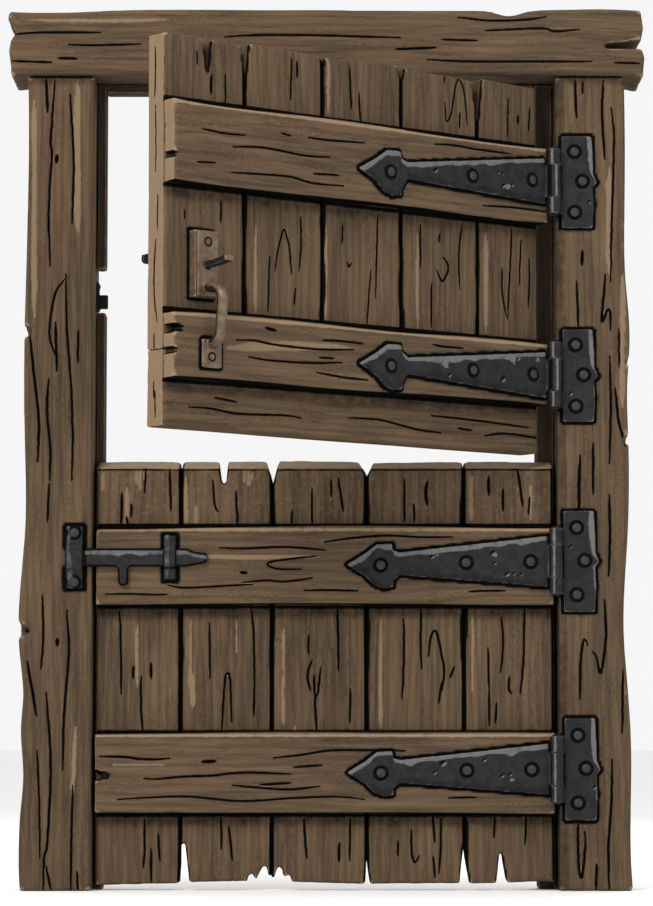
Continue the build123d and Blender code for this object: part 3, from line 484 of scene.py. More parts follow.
# rivet heads take a lighter copy of the iron: a painted highlight
litRivetLook = dict(ironLook, dark=(0.022, 0.022, 0.023), mid=(0.031, 0.031, 0.032), light=(0.048, 0.048, 0.048),
                 gloss=0.15)
bronzeLook = dict(ironLook, dark=(0.078, 0.051, 0.030), mid=(0.143, 0.096, 0.056), light=(0.205, 0.145, 0.091),
                  bareAndHighlight=(0.360, 0.268, 0.180), metallic=0.45, roughLow=0.38, roughHigh=0.55, gloss=0.5)
frameTimber = timberFinish("frameTimber", frameLook)
leafTimber = timberFinish("leafTimber", leafLook)
ledgeTimber = timberFinish("ledgeTimber", ledgeLook)
blackIron = ironFinish("blackIron", ironLook)
litRivetIron = ironFinish("litRivetIron", litRivetLook)
brownBronze = ironFinish("brownBronze", bronzeLook)
shadedStopTimber = timberFinish("shadedStopTimber", shadedStopLook)
print("finishes mixed")


# how weathering marks every timber, and where painted light and painted shade go on it: depths and reaches in metres,
# strengths from 0 up
weatherLightShade = {"splitFace": 0.008, "endReach": 0.02, "endSplitDepth": 1.2, "litEnd": 0.9, "litAbove": 0.32,
           "behindFront": (0.011, 0.016), "closeReach": (0.012, 0.003), "shadowFade": (-0.004, 0.0),
           "restLine": 0.005, "splitSides": 0.014, "ledgeBack": (0.016, 0.006)}
# how many waves to the metre each kind of roughness has, twice across the grain and once along it
waves = {"wander": (7, 7, 1.4), "ridges": (30, 30, 4.5), "fineRidges": (85, 85, 6), "nibble": (34, 34, 13),
         "fineNibble": (80, 80, 40), "strands": (160, 160, 6)}


def roughness(timber, arris):
    # slow wander of the faces, saw ridges along the grain, and bites out of the arrises
    def wave(kind, number):
        return ruffle(timber.grain * waves[kind], timber.seed + number)

    shift = wave("wander", 0) * timber.look["wander"]
    shift += wave("ridges", 1) * timber.look["ridges"]
    shift += wave("fineRidges", 2) * timber.look["ridges"] * 0.6
    nibble = np.maximum(0, wave("nibble", 3) + 0.6 * wave("fineNibble", 4) - 0.15)
    shift -= nibble * arris * timber.look["nibble"]
    return np.minimum(shift, timber.look["proud"])


# splits: how blunt their ends are, their least half width, how far the sides slope out, their greatest
# depth, how dark they are painted with dirt and shade, and a soft painted shade round them
splitShape = {"taper": 5, "blunt": 0.12, "least": 0.0011, "slope": 1.7, "deepest": 0.009, "dark": 1.3,
              "soft": 0.34, "softReach": 0.006}


def splitMarks(flat, lines, depth):
    # how deep the splits cut, closing to almost nothing at both ends, and how dark they are painted, with dirt and
    # shade in them and painted shade round them
    groove, shade = np.zeros(len(flat)), np.zeros(len(flat))
    for half, line, share in lines:
        distance, along = nearStroke(flat, line, share, 0.02)
        taper = np.sqrt(np.clip(np.minimum(along, 1 - along) * splitShape["taper"], splitShape["blunt"], 1))
        wide = half * taper + splitShape["least"]
        groove = np.maximum(groove, (1 - ease(0, 1, distance / (wide * splitShape["slope"]))) * wide * depth)
        shade = np.maximum(shade, splitShape["dark"] * (1 - ease(0.7, 1.35, distance / wide)))
        soft = 1 - ease(0.3, 1, distance / (wide + splitShape["softReach"]))
        shade = np.maximum(shade, splitShape["soft"] * soft)
    return np.minimum(groove, splitShape["deepest"]), shade


def fineNear(mesh, lines, plane, limit):
    # more faces beside the splits of one face, so that their edges are crisp
    for reach in (0.0075, 0.0045):
        places = positions(mesh)
        flat = places[:, plane]
        near = np.zeros(len(flat), bool)
        for half, line, share in lines:
            near |= nearStroke(flat, line, share, 0.02)[0] < half + reach
        near &= places[:, 3 - sum(plane)] < limit
        if not near.any():
            return
        fine = bmesh.new()
        fine.from_mesh(mesh)
        fine.verts.ensure_lookup_table()
        edges = [edge for edge in fine.edges if near[edge.verts[0].index] and near[edge.verts[1].index]]
        bmesh.ops.subdivide_edges(fine, edges=edges, cuts=1, use_grid_fill=True)
        fine.to_mesh(mesh)
        fine.free()


def nearOutline(flat, name, space, face):
    # for points in the front's plane: distance to the outline of a CAD forging that lies on it
    mesh, turned = nodes[name].data, space.inverted()
    spots = [tuple(round(part, 5) for part in turned @ vertex.co) for vertex in mesh.vertices]
    rims = {}
    for patch in mesh.polygons:
        onTimber = (turned.to_3x3() @ patch.normal).y > 0.9
        for first, last in patch.edge_keys:
            rims.setdefault(tuple(sorted((spots[first], spots[last]))), []).append(onTimber)
    distance = np.full(len(flat), 1.0)
    for (first, last), sides in rims.items():
        if any(sides) and not all(sides) and abs(first[1] - face) < 0.003:
            line = np.array([[first[0], first[2]], [last[0], last[2]]])
            distance = np.minimum(distance, nearStroke(flat, line, np.array([0.0, 1.0]), 0.016)[0])
    return distance


def closeUp(timber):
    # boards close up behind their open seams, and over the rail behind the joint
    places, normals = timber.places, timber.normals
    behind = ease(*weatherLightShade["behindFront"], places[:, 1] - timber.low[1])
    for side, edge, gap in zip((-1, 1), (timber.low[0], timber.high[0]), timber.look["closeSeams"]):
        onSide = ease(0.5, 0.9, normals[:, 0] * side) * behind
        onSide *= ease(*weatherLightShade["closeReach"], abs(places[:, 0] - edge))
        places[:, 0] += side * onSide * gap
    onFoot = ease(0.5, 0.9, -normals[:, 2]) * behind * ease(*weatherLightShade["closeReach"], places[:, 2] - timber.low[2])
    places[:, 2] -= onFoot * timber.look.get("closeFoot", 0)


def streaksOn(timber, streaks):
    # worn streaks, bleached and ragged along the grain
    bleachedAndLit = np.zeros(len(timber.flat))
    for half, line, share in streaks:
        distance, along = nearStroke(timber.flat, line, share, 0.04)
        taper = np.sqrt(np.clip(np.minimum(along, 1 - along) * 6, 0.05, 1))
        strands = 0.75 + 0.5 * ruffle(timber.grain * waves["strands"], timber.seed + 7)
        streak = 1 - ease(0.3, 1.2, distance / (half * taper * strands + 0.001))
        bleachedAndLit = np.maximum(bleachedAndLit, streak * timber.front)
    return bleachedAndLit


def innerSides(timber):
    # painted shade on a board's sides in its seams and notches, weaker near its ends where light still reaches in
    places, low, high = timber.places, timber.low, timber.high
    if "closeSeams" not in timber.look:
        return np.zeros(len(places))
    inside = (places[:, 0] > low[0] + weatherLightShade["endReach"]) | (not timber.look["litEnd"])
    nearEnd = ease(0.13, 0.10, np.minimum(high[2] - places[:, 2], places[:, 2] - low[2]))
    return (ease(0.3, 0.7, abs(timber.normals[:, 0])) * inside
            * (1 - 0.65 * nearEnd * ease(0.004, 0.010, places[:, 1] - low[1])))


# painted dark lines of shade where pieces meet, with dirt in the seams: how strong, and how far away they have gone and
# are full
darkLines = {"shadow": (1.2, 0.011, 0.004), "seam": (1.3, 0.0066, 0.0038), "seamHalo": (0.4, 0.012, 0.0036),
             "iron": (1.25, 0.0090, 0.0058), "ironHalo": (0.45, 0.020, 0.006)}


def darkLine(kind, distance):
    strength, gone, full = darkLines[kind]
    return strength * ease(gone, full, distance)


def dirtAndShadeOn(timber, space):
    # dirt and painted shade in splits and hollows, painted shadows, and painted dark lines of shade where pieces meet
    look, places, normals, front = timber.look, timber.places, timber.normals, timber.front
    height = places[:, 2]
    # dirt and painted shade in the splits, the free end's splits and the hollows, and painted shade on the sides in the
    # seams
    layers = [timber.shade * front, timber.endShade * timber.atEnd, 0.8 * ease(0.05, 0.2, -timber.bend),
              1.1 * timber.inner]
    # painted shadows under the ledges and edges that stand proud
    for level, reach in look.get("shadows", []):
        under = level - height
        soft = np.maximum(0.5 * ease(reach, 0.35 * reach, under), darkLine("shadow", under))
        layers.append(soft * ease(*weatherLightShade["shadowFade"], under) * front)
    # a painted dark line of shade on the boards just over a ledge's top
    for level, reach in look.get("rests", []):
        over = height - level
        line = 1.3 * ease(reach, reach - weatherLightShade["restLine"], over)
        layers.append(line * ease(*weatherLightShade["shadowFade"], over) * front)
    # dark seams with dirt in them, and a soft painted shade beside them
    for edge in look.get("seams", []):
        away = abs(places[:, 0] - edge) * (1 + 0.45 * ruffle(places * (0, 0, 13), timber.seed + 6))
        layers += [darkLine("seamHalo", away), darkLine("seam", away)]
    # painted dark lines of shade round the ironwork
    for name in look.get("ironwork", []):
        distance = nearOutline(timber.flat, name, space, timber.low[1])
        layers += [darkLine("iron", distance) * front, darkLine("ironHalo", distance) * front]
    # painted shade on the side that looks away, and a painted shadow by the post's inner edge
    if "shadySide" in look:
        edge, reach, strength = look["shadySide"]
        layers.append(0.55 * ease(0.5, 0.9, -normals[:, 0]))
        layers.append(strength * ease(reach, reach * 0.8, abs(places[:, 0] - edge)) * front)
    if "topLight" in look:
        # a ledge: painted shade on the sides of its splits, on its foot, and on its top where it lies on the boards
        middle, half = (timber.low[2] + timber.high[2]) / 2, (timber.high[2] - timber.low[2]) / 2
        inSplit = abs(height - middle) < half - weatherLightShade["splitSides"]
        onBoards = ease(*weatherLightShade["ledgeBack"], timber.high[1] - places[:, 1])
        layers.append(1.2 * ease(0.35, 0.7, abs(normals[:, 2])) * inSplit)
        layers.append(1.1 * ease(0.55, 0.85, -normals[:, 2]))
        layers.append(0.9 * ease(0.55, 0.85, normals[:, 2]) * onBoards)
    return np.maximum.reduce(layers)


def hewTimber(node, look, material):
    # a CAD timber made old: it wanders, its arrises are nibbled, and splits run along its face
    piece, space = straightCopy(node, "old_" + node, look["voxel"])
    mesh = piece.data
    left, face = positions(mesh).min(0)[:2]
    start = 0.0 if bodyOf[node] == "frame" else -hanging["leafReach"]
    splits, endSplits = linesOf(look, "splits", start), linesOf(look, "endSplits", face)
    fineNear(mesh, splits, [0, 2], face + weatherLightShade["splitFace"])
    fineNear(mesh, endSplits, [1, 2], left + weatherLightShade["splitFace"])
    places, normals = positions(mesh), outward(mesh)
    timber = SimpleNamespace(places=places, normals=normals, low=places.min(0), high=places.max(0), look=look,
                             seed=look["seed"])
    grain = places[:, [2, 1, 0]] if look["grain"] == "x" else places
    timber.grain = grain + np.array([1.7, 0.9, 2.3]) * timber.seed
    timber.front = facing(normals, 1, -1) * ease(0.012, 0.004, places[:, 1] - face)
    places += normals * roughness(timber, ease(0.06, 0.22, bendOf(mesh)))[:, None]
    timber.flat = places[:, [0, 2]]
    groove, timber.shade = splitMarks(timber.flat, splits, look["splitDepth"])
    places[:, 1] += groove * timber.front
    timber.atEnd = ease(0.6, 0.9, -normals[:, 0]) * (places[:, 0] < timber.low[0] + weatherLightShade["endReach"])
    groove, timber.endShade = splitMarks(places[:, [1, 2]], endSplits, weatherLightShade["endSplitDepth"])
    places[:, 0] += groove * timber.atEnd
    if "closeSeams" in look:
        closeUp(timber)
    movePoints(mesh, places)

    timber.bend, timber.inner = bendOf(mesh), innerSides(timber)
    # dirt and painted shade, kept for the material
    dirtAndShade = dirtAndShadeOn(timber, space)
    wearAndHighlight = ease(0.05, 0.20, timber.bend) * (1 - timber.inner)
    bleachedAndLit = streaksOn(timber, linesOf(look, "worn", start))
    # a painted highlight along the top of a ledge's front
    if "topLight" in look:
        level, reach = look["topLight"]
        wearAndHighlight = np.maximum(wearAndHighlight, 0.9 * (1 - ease(0.4, 1, abs(places[:, 2] - level) / reach)) * timber.front)
    # painted light over the front above a level, lifting the shade that falls there
    if "litAbove" in look:
        litPart = ease(look["litAbove"] - 0.02, look["litAbove"] + 0.04, places[:, 2])
        bleachedAndLit = np.maximum(bleachedAndLit, weatherLightShade["litAbove"] * litPart * timber.front)
    # a free end painted pale and a little bright: painted light
    if look.get("litEnd"):
        bleachedAndLit = np.maximum(bleachedAndLit, weatherLightShade["litEnd"] * timber.atEnd)
        wearAndHighlight = np.maximum(wearAndHighlight, 0.2 * timber.atEnd)
    # a sloping top painted pale and bright, as if lit from above, with most of its painted shade and dirt taken off
    if look.get("litTop"):
        sloping = ease(0.35, 0.6, normals[:, 2]) * (places[:, 2] > timber.high[2] - 0.05)
        bleachedAndLit = np.maximum(bleachedAndLit, sloping)
        wearAndHighlight = np.maximum(wearAndHighlight, 0.7 * sloping)
        dirtAndShade *= 1 - 0.8 * sloping * (abs(normals[:, 0]) < 0.4)
    for name, mark in (("wearAndHighlight", wearAndHighlight), ("dirtAndShade", dirtAndShade), ("bleachedAndLit", bleachedAndLit)):
        keepMark(mesh, name, mark)
    grainPlace = mesh.attributes.new("grainPlace", "FLOAT_VECTOR", "POINT")
    grainPlace.data.foreach_set("vector", timber.grain.astype(np.float32).ravel())
    hangPiece(piece, space, node, material)


# timbers: a painted shadow under an edge, and a painted dark line of shade where a board rests over a ledge's top, hold
# a level and a reach in metres
frameCommon = {"grain": "z", "voxel": 0.006, "wander": 0.0022, "ridges": 0.0010, "nibble": 0.0045,
               "proud": 0.002, "splitDepth": 1.5}
frameTimbers = {
    "lintel": {"grain": "x", "seed": 3,
        "splits": [(3.3, (-1530, 2256), (-1453, 2261), (-1298, 2261)),
            (3.3, (-1381, 2228), (-1309, 2227), (-1193, 2230)), (4.3, (-1408, 2192), (-1359, 2191)),
            (3.3, (-1530, 2184), (-1425, 2181)), (3.3, (-967, 2249), (-879, 2254), (-724, 2253), (-503, 2247)),
            (4.3, (-514, 2216), (-409, 2220)), (3.3, (-432, 2188), (-316, 2183), (-150, 2183), (4, 2183)),
            (3.3, (-393, 2242), (-299, 2239)), (3.3, (-277, 2266), (-128, 2272), (-94, 2264), (-28, 2269)),
            (3.3, (-348, 2301), (-266, 2293), (-172, 2295), (-116, 2303)), (3.3, (65, 2180), (131, 2178))],
        "worn": [(9, (-1508, 2292), (-1122, 2294))]},
    "latch_post": {"seed": 7,
        "splits": [(4.9, (-1441, 2139), (-1437, 2049)),
            (3.5, (-1418, 2135), (-1428, 1966), (-1424, 1945), (-1432, 1787), (-1427, 1638)),
            (3.5, (-1377, 2096), (-1367, 1916), (-1370, 1752)), (7.0, (-1410, 1934), (-1412, 1913)),
            (3.5, (-1386, 1616), (-1382, 1474), (-1371, 1332), (-1365, 1190), (-1367, 1072)),
            (3.5, (-1390, 1602), (-1414, 1563), (-1428, 1460), (-1410, 1396)),
            (4.9, (-1412, 1488), (-1408, 1360)), (3.5, (-1352, 1467), (-1353, 1382)),
            (4.2, (-1429, 1339), (-1433, 1254), (-1424, 1155), (-1425, 1072)),
            (4.9, (-1479, 1453), (-1466, 1332), (-1454, 1226), (-1457, 1120)),
            (3.5, (-1426, 1063), (-1431, 963)), (3.5, (-1442, 769), (-1439, 659), (-1444, 578)),
            (4.2, (-1378, 730), (-1372, 617), (-1383, 462), (-1386, 315)), (4.9, (-1481, 596), (-1455, 455)),
            (4.2, (-1430, 515), (-1417, 322), (-1425, 126), (-1432, 91), (-1435, 1)),
            (3.5, (-1428, 64), (-1415, 4)), (2.8, (-1453, 364), (-1447, 238), (-1444, 84)),
            (3.5, (-1359, 273), (-1362, 140), (-1363, 1)), (3.5, (-1347, 50), (-1344, 1)),
            (7.0, (-1402, 656), (-1402, 638))],
        "worn": [(21, (-1473, 2081), (-1469, 1502)), (25, (-1358, 2132), (-1355, 1723)),
            (14, (-1353, 427), (-1359, 245))]},
    "hinge_post": {"seed": 13,
        "splits": [(4.2, (-39, 2135), (-36, 2035)), (2.8, (-19, 2132), (-19, 2099)),
            (4.2, (36, 2135), (32, 2045), (38, 1923)), (3.5, (56, 2060), (63, 1974), (56, 1759), (52, 1598)),
            (5.6, (-22, 1679), (-23, 1641)), (3.5, (-38, 1598), (-34, 1474)),
            (4.2, (38, 1616), (28, 1492), (42, 1520), (50, 1517), (51, 1467)), (2.8, (73, 1470), (73, 1371)),
            (3.5, (48, 1399), (50, 1261), (45, 1116)), (4.2, (62, 1314), (70, 1233), (87, 1162)),
            (4.2, (-32, 1137), (-35, 979)), (4.2, (3, 1169), (2, 1035)), (4.3, (-35, 1110), (-36, 994)),
            (4.3, (45, 1034), (45, 907), (41, 820)),
            (4.3, (30, 758), (33, 661), (19, 567), (7, 610), (-2, 621)),
            (4.3, (-15, 639), (-24, 654), (-33, 603), (-36, 499)), (3.6, (77, 574), (74, 409)),
            (4.3, (47, 341), (44, 222), (36, 115), (37, 4)),
            (4.3, (-43, 187), (-42, 72), (-34, 36), (-24, 115), (-25, 154)), (4.3, (5, 69), (3, 1))],
        "worn": [(21, (50, 1902), (48, 1616)), (18, (84, 1616), (81, 1261))]},
}
frameTimbers["latch_post"].update(shadows=[(2.147, 0.04)], ironwork=["bolt_keeper"])
frameTimbers["hinge_post"].update(shadows=[(2.147, 0.04)], shadySide=(-0.092, 0.03, 0.42), ironwork=[
    leaf + "_hinge_plate_" + place for leaf in ("upper", "lower") for place in ("top", "bottom")])
for node, look in frameTimbers.items():
    hewTimber(node, dict(frameCommon, **look), frameTimber)
print("posts and lintel hewn")

stopCommon = {"voxel": 0.006, "wander": 0.0008, "ridges": 0.0005, "nibble": 0.001, "proud": 0.0005, "splitDepth": 1}
stops = {"head_stop": ("x", 81), "hinge_stop": ("z", 83), "latch_stop_lower": ("z", 85), "latch_stop_upper": ("z", 87)}
for node, (grain, seed) in stops.items():
    hewTimber(node, dict(stopCommon, grain=grain, seed=seed), shadedStopTimber)

ledgeCommon = {"grain": "x", "voxel": 0.005, "wander": 0.0014, "ridges": 0.0008, "nibble": 0.0038, "proud": 0.0009,
               "splitDepth": 1.6, "litEnd": True}
ledges = {
    "upper_ledge_top": {"seed": 21, "topLight": (1.944, 0.008),
        "splits": [(2.4, (84, 1883), (116, 1881), (153, 1879), (214, 1881)), (2.4, (324, 1898), (353, 1895)),
            (2.8, (407, 1896), (470, 1896), (585, 1901)),
            (2.8, (176, 1848), (256, 1856), (317, 1854), (398, 1849), (475, 1853)),
            (2.4, (69, 1800), (123, 1803)),
            (2.8, (172, 1784), (251, 1788), (350, 1791), (422, 1782), (519, 1784)),
            (2.8, (424, 1806), (504, 1810)), (2.8, (815, 1922), (880, 1926), (956, 1923), (1066, 1923)),
            (2.8, (974, 1777), (1083, 1782), (1194, 1781))]},
    "upper_ledge_bottom": {"seed": 24, "topLight": (1.424, 0.008),
        "splits": [(5.3, (275, 1407), (308, 1402)),
            (2.9, (187, 1370), (239, 1373), (287, 1368), (359, 1365), (452, 1365), (550, 1371)),
            (2.9, (452, 1388), (511, 1390), (580, 1388)),
            (2.9, (224, 1331), (287, 1327), (403, 1328), (513, 1336)), (2.9, (444, 1344), (488, 1345)),
            (2.9, (434, 1306), (520, 1299), (595, 1297)), (2.9, (807, 1402), (838, 1399), (906, 1399))],
        "worn": [(25, (159, 1349), (345, 1366), (535, 1373))]},
    "lower_ledge_top": {"seed": 27, "topLight": (0.942, 0.007),
        "splits": [(3.2, (323, 894), (385, 892), (482, 896), (546, 893), (602, 888)),
            (2.8, (578, 872), (486, 862), (452, 854), (452, 846), (482, 838), (538, 838)),
            (5.6, (379, 829), (395, 828)), (2.8, (189, 796), (233, 789), (337, 794), (410, 798)),
            (2.8, (385, 803), (446, 808), (490, 805), (538, 810), (566, 815)),
            (2.4, (25, 772), (85, 773), (145, 771), (185, 771)), (2.8, (546, 782), (613, 783), (686, 781)),
            (3.2, (599, 909), (667, 919), (760, 926), (848, 922), (934, 922)),
            (2.8, (978, 779), (1028, 781), (1072, 781))],
        "worn": [(14, (283, 870), (586, 870))]},
    "lower_ledge_bottom": {"seed": 31, "topLight": (0.403, 0.007),
        "splits": [(3.6, (13, 349), (83, 347), (107, 343), (155, 341), (195, 344)),
            (6.4, (279, 335), (315, 336)),
            (3.6, (129, 292), (159, 290), (227, 296), (307, 299), (347, 304), (406, 307), (510, 303)),
            (3.2, (359, 274), (426, 268), (506, 263), (586, 271)), (3.6, (432, 275), (510, 280)),
            (3.2, (518, 321), (592, 326)),
            (3.2, (466, 345), (538, 353), (613, 364), (706, 365), (766, 365), (810, 363)),
            (2.8, (60, 237), (139, 242), (235, 245), (307, 239), (371, 233),
             (426, 234), (506, 240), (606, 244), (666, 242), (702, 237)),
            (2.4, (922, 241), (994, 243))],
        "worn": [(8, (47, 328), (179, 328))]},
}
ironOn = {"upper_ledge_bottom": ["latch_handle"], "lower_ledge_top": ["bolt_guide"]}
for node, look in ledges.items():
    ironwork = [node.replace("ledge", "strap")] + ironOn.get(node, [])
    hewTimber(node, dict(ledgeCommon, ironwork=ironwork, **look), ledgeTimber)
print("ledges cut")

boardCommon = {"grain": "z", "voxel": 0.005, "wander": 0.0016, "ridges": 0.0009, "nibble": 0.0035, "proud": 0.0009,
               "splitDepth": 1.6}
upperCommon = dict(boardCommon, shadows=[(1.748, 0.055), (1.268, 0.05)], rests=[(1.950, 0.018), (1.430, 0.017)],
                   closeFoot=0.0023)
lowerCommon = dict(boardCommon, shadows=[(1.108, 0.012), (0.744, 0.055), (0.199, 0.05)],
                   rests=[(0.948, 0.014), (0.409, 0.011)], litTop=True, litAbove=0.95)
upperBoards = {
    "upper_board_1": {"seed": 41,
        "splits": [(1.6, (98, 2084), (98, 2052)), (5.6, (143, 2030), (141, 1984)),
            (2.8, (183, 2037), (184, 1958)), (3.6, (171, 1721), (171, 1666)), (2.0, (62, 1686), (62, 1664))],
        "endSplits": [(3.0, (41, 2088), (40, 2030), (42, 1967)), (1.6, (38, 1943), (36, 1860), (37, 1781)),
            (3.0, (28, 1721), (30, 1636)), (3.2, (36, 1612), (43, 1520), (40, 1460), (28, 1407)),
            (3.0, (41, 1380), (42, 1330), (42, 1274))]},
    "upper_board_2": {"seed": 44,
        "splits": [(3.2, (389, 2100), (386, 1996)), (4.0, (406, 2096), (407, 2055)),
            (2.9, (418, 1701), (419, 1622), (413, 1566)),
            (2.9, (339, 1560), (344, 1596), (356, 1640), (366, 1665), (378, 1638), (383, 1619), (389, 1556)),
            (2.9, (400, 1518), (397, 1478)), (2.9, (321, 1592), (316, 1452))],
        "worn": [(12, (276, 1668), (277, 1449))]},
    "upper_board_3": {"seed": 47,
        "splits": [(3.6, (573, 2100), (578, 1994)), (3.6, (602, 2038), (608, 1960)),
            (2.9, (550, 1693), (548, 1647)), (3.3, (565, 1598), (571, 1588), (576, 1597)),
            (2.9, (666, 1728), (662, 1703), (657, 1516)), (2.9, (641, 1585), (628, 1446))],
        "worn": [(12, (504, 2116), (504, 1970)), (12, (496, 1688), (496, 1442))]},
    "upper_board_4": {"seed": 52,
        "splits": [(2.8, (884, 2127), (885, 2097)),
            (2.8, (886, 2046), (892, 1997), (908, 2020), (920, 2085), (933, 2112),
             (949, 2088), (958, 2036), (961, 1994)),
            (3.5, (936, 2023), (935, 1984)), (3.3, (802, 1716), (803, 1607)), (3.3, (867, 1699), (865, 1677)),
            (3.3, (941, 1728), (932, 1646), (934, 1560)),
            (3.7, (878, 1637), (892, 1626), (895, 1606), (875, 1576), (857, 1603)),
            (3.3, (840, 1569), (838, 1453))],
        "worn": [(10, (793, 1695), (792, 1447))]},
    "upper_board_5": {"seed": 55,
        "splits": [(2.8, (1102, 2079), (1100, 1977)), (5.6, (1137, 2038), (1136, 2017)),
            (2.8, (1177, 2064), (1172, 2003)), (3.3, (1112, 1738), (1108, 1661), (1102, 1577), (1096, 1494)),
            (3.3, (1078, 1627), (1079, 1555), (1093, 1498)), (2.9, (1144, 1707), (1137, 1588)),
            (3.3, (1171, 1660), (1172, 1604), (1167, 1530))],
        "worn": [(16, (1023, 1715), (1022, 1452))]},
}
rail = {"grain": "x", "seed": 35,
        "splits": [(2.9, (154, 1230), (220, 1223)),
            (2.9, (77, 1202), (144, 1202), (225, 1194), (368, 1198), (417, 1194)),
            (2.9, (570, 1203), (665, 1204), (734, 1194), (798, 1185), (870, 1181)),
            (2.9, (838, 1224), (926, 1222), (1032, 1218), (1165, 1211)), (2.9, (926, 1196), (973, 1193)),
            (2.9, (1016, 1181), (1085, 1191), (1225, 1183))],
        "endSplits": [(3.0, (42, 1262), (40, 1222)), (3.0, (36, 1240), (33, 1176))]}
lowerBoards = {
    "lower_board_1": {"seed": 61,
        "splits": [(16, (2, 313), (20, 311)), (4.4, (64, 1040), (63, 957)), (3.6, (90, 1010), (89, 978)),
            (3.6, (77, 978), (82, 945)), (2.4, (126, 1103), (125, 1042)), (3.6, (190, 1099), (194, 996)),
            (3.2, (59, 729), (63, 657), (65, 512)), (4.4, (97, 585), (97, 553)), (4.4, (143, 593), (144, 553)),
            (3.6, (117, 557), (118, 468), (122, 408)), (3.2, (128, 185), (128, 109), (125, 59)),
            (3.6, (145, 107), (146, 22)), (3.2, (163, 147), (168, 77))],
        "worn": [(8, (14, 1097), (14, 1044)), (9, (101, 1099), (102, 1066)), (9, (112, 1099), (112, 1052)),
            (8, (122, 1099), (124, 1074)), (16, (77, 1052), (77, 947)), (10, (105, 705), (106, 523))]},
    "lower_board_2": {"seed": 64,
        "splits": [(2.8, (304, 1075), (309, 1012), (317, 992)), (3.2, (365, 1046), (370, 951)),
            (3.2, (405, 741), (413, 657), (415, 523)), (3.2, (415, 549), (413, 454)),
            (2.8, (296, 697), (298, 553)), (3.2, (329, 408), (336, 541), (343, 565), (351, 549), (355, 440)),
            (3.2, (328, 189), (329, 107)), (3.6, (348, 165), (358, 79))],
        "worn": [(8, (388, 1097), (388, 1070)), (8, (398, 1097), (399, 1058)), (6, (407, 1095), (407, 1076)),
            (12, (232, 1081), (233, 955)), (10, (259, 1008), (259, 955)), (16, (246, 709), (246, 523)),
            (16, (252, 565), (252, 476)), (8, (366, 713), (367, 621))]},
    "lower_board_3": {"seed": 67,
        "splits": [(2.8, (566, 1054), (566, 957)), (2.8, (513, 994), (512, 957)), (2.8, (557, 667), (557, 617)),
            (3.6, (566, 601), (554, 561), (562, 521)), (3.6, (571, 561), (574, 505)),
            (3.6, (588, 581), (582, 517), (574, 496), (578, 416)), (2.8, (616, 1075), (617, 1032)),
            (3.6, (635, 1081), (648, 992)), (3.6, (632, 737), (635, 645), (636, 573)),
            (3.2, (667, 525), (665, 436)), (3.6, (545, 187), (548, 129), (553, 83)),
            (4.8, (638, 123), (637, 75)), (3.2, (666, 189), (665, 79))],
        "worn": [(10, (491, 685), (491, 523)), (10, (489, 565), (490, 428)), (10, (522, 428), (522, 366))]},
    "lower_board_4": {"seed": 71,
        "splits": [(3.2, (809, 1077), (810, 965)), (3.2, (834, 1012), (836, 965)),
            (6.0, (870, 1071), (866, 1040), (869, 1010)), (3.2, (853, 741), (852, 637), (854, 577)),
            (3.2, (806, 709), (808, 637), (803, 500)),
            (3.6, (872, 611), (879, 665), (891, 677), (901, 645), (907, 613), (913, 577), (908, 521)),
            (3.2, (909, 549), (898, 488)), (3.6, (940, 583), (929, 555)), (2.8, (791, 127), (791, 91)),
            (3.2, (825, 157), (827, 97), (835, 73), (847, 89)), (3.6, (883, 197), (885, 153), (887, 125)),
            (3.2, (904, 187), (903, 117), (898, 45)), (3.2, (883, 87), (887, 34))],
        "worn": [(12, (746, 707), (746, 523)), (14, (746, 565), (746, 424))]},
    "lower_board_5": {"seed": 77,
        "splits": [(4.8, (1032, 1085), (1032, 1036)), (4.4, (1069, 1050), (1070, 994)),
            (4.0, (1106, 1103), (1112, 1081), (1117, 1040), (1122, 1006)), (2.8, (1140, 1030), (1137, 986)),
            (2.8, (1064, 713), (1068, 665), (1066, 605), (1061, 569)),
            (3.2, (1125, 741), (1123, 637), (1120, 577), (1113, 512)), (3.2, (1029, 633), (1031, 523)),
            (3.2, (1031, 525), (1031, 430)), (3.6, (1085, 557), (1083, 525), (1089, 513)),
            (3.2, (1049, 488), (1048, 436)), (2.8, (1045, 195), (1042, 137)), (3.2, (1126, 195), (1124, 119))],
        "worn": [(12, (987, 1085), (986, 963)), (10, (988, 717), (987, 523)), (10, (1144, 1060), (1144, 967))]},
}


def seamsOf(node):
    # how far a board's sides reach to close behind its seams, and where the seams are
    leaf, number = node[:5], int(node[-1])
    straight = straightSpace(node).inverted()

    def sides(name):
        across = [(straight @ vertex.co).x for vertex in nodes[name].data.vertices]
        return min(across), max(across)

    left, right = sides(node)
    before = left - sides("%s_board_%d" % (leaf, number - 1))[1] if number > 1 else 0
    after = sides("%s_board_%d" % (leaf, number + 1))[0] - right if number < 5 else 0
    close = [gap / 2 + 0.0015 if gap else 0 for gap in (before, after)]
    return close, [edge for edge, gap in ((left, before), (right, after)) if gap]


def planeBoards(boards, common):
    for node, look in boards.items():
        close, seams = seamsOf(node)
        look = dict(common, closeSeams=close, seams=seams, litEnd=node[-1] == "1", **look)
        hewTimber(node, look, leafTimber)


upperBoards["upper_board_1"]["ironwork"] = ["latch_packing"]
planeBoards(upperBoards, upperCommon)
hewTimber("upper_bottom_rail", dict(boardCommon, shadows=[(1.268, 0.05)], litEnd=True, **rail), leafTimber)
planeBoards(lowerBoards, lowerCommon)
hewTimber("latch_packing", {"grain": "x", "seed": 91, "voxel": 0.003, "wander": 0.0006, "ridges": 0.0004,
                            "nibble": 0.0012, "proud": 0.0002, "splitDepth": 1}, ledgeTimber)
print("boards planed and split")


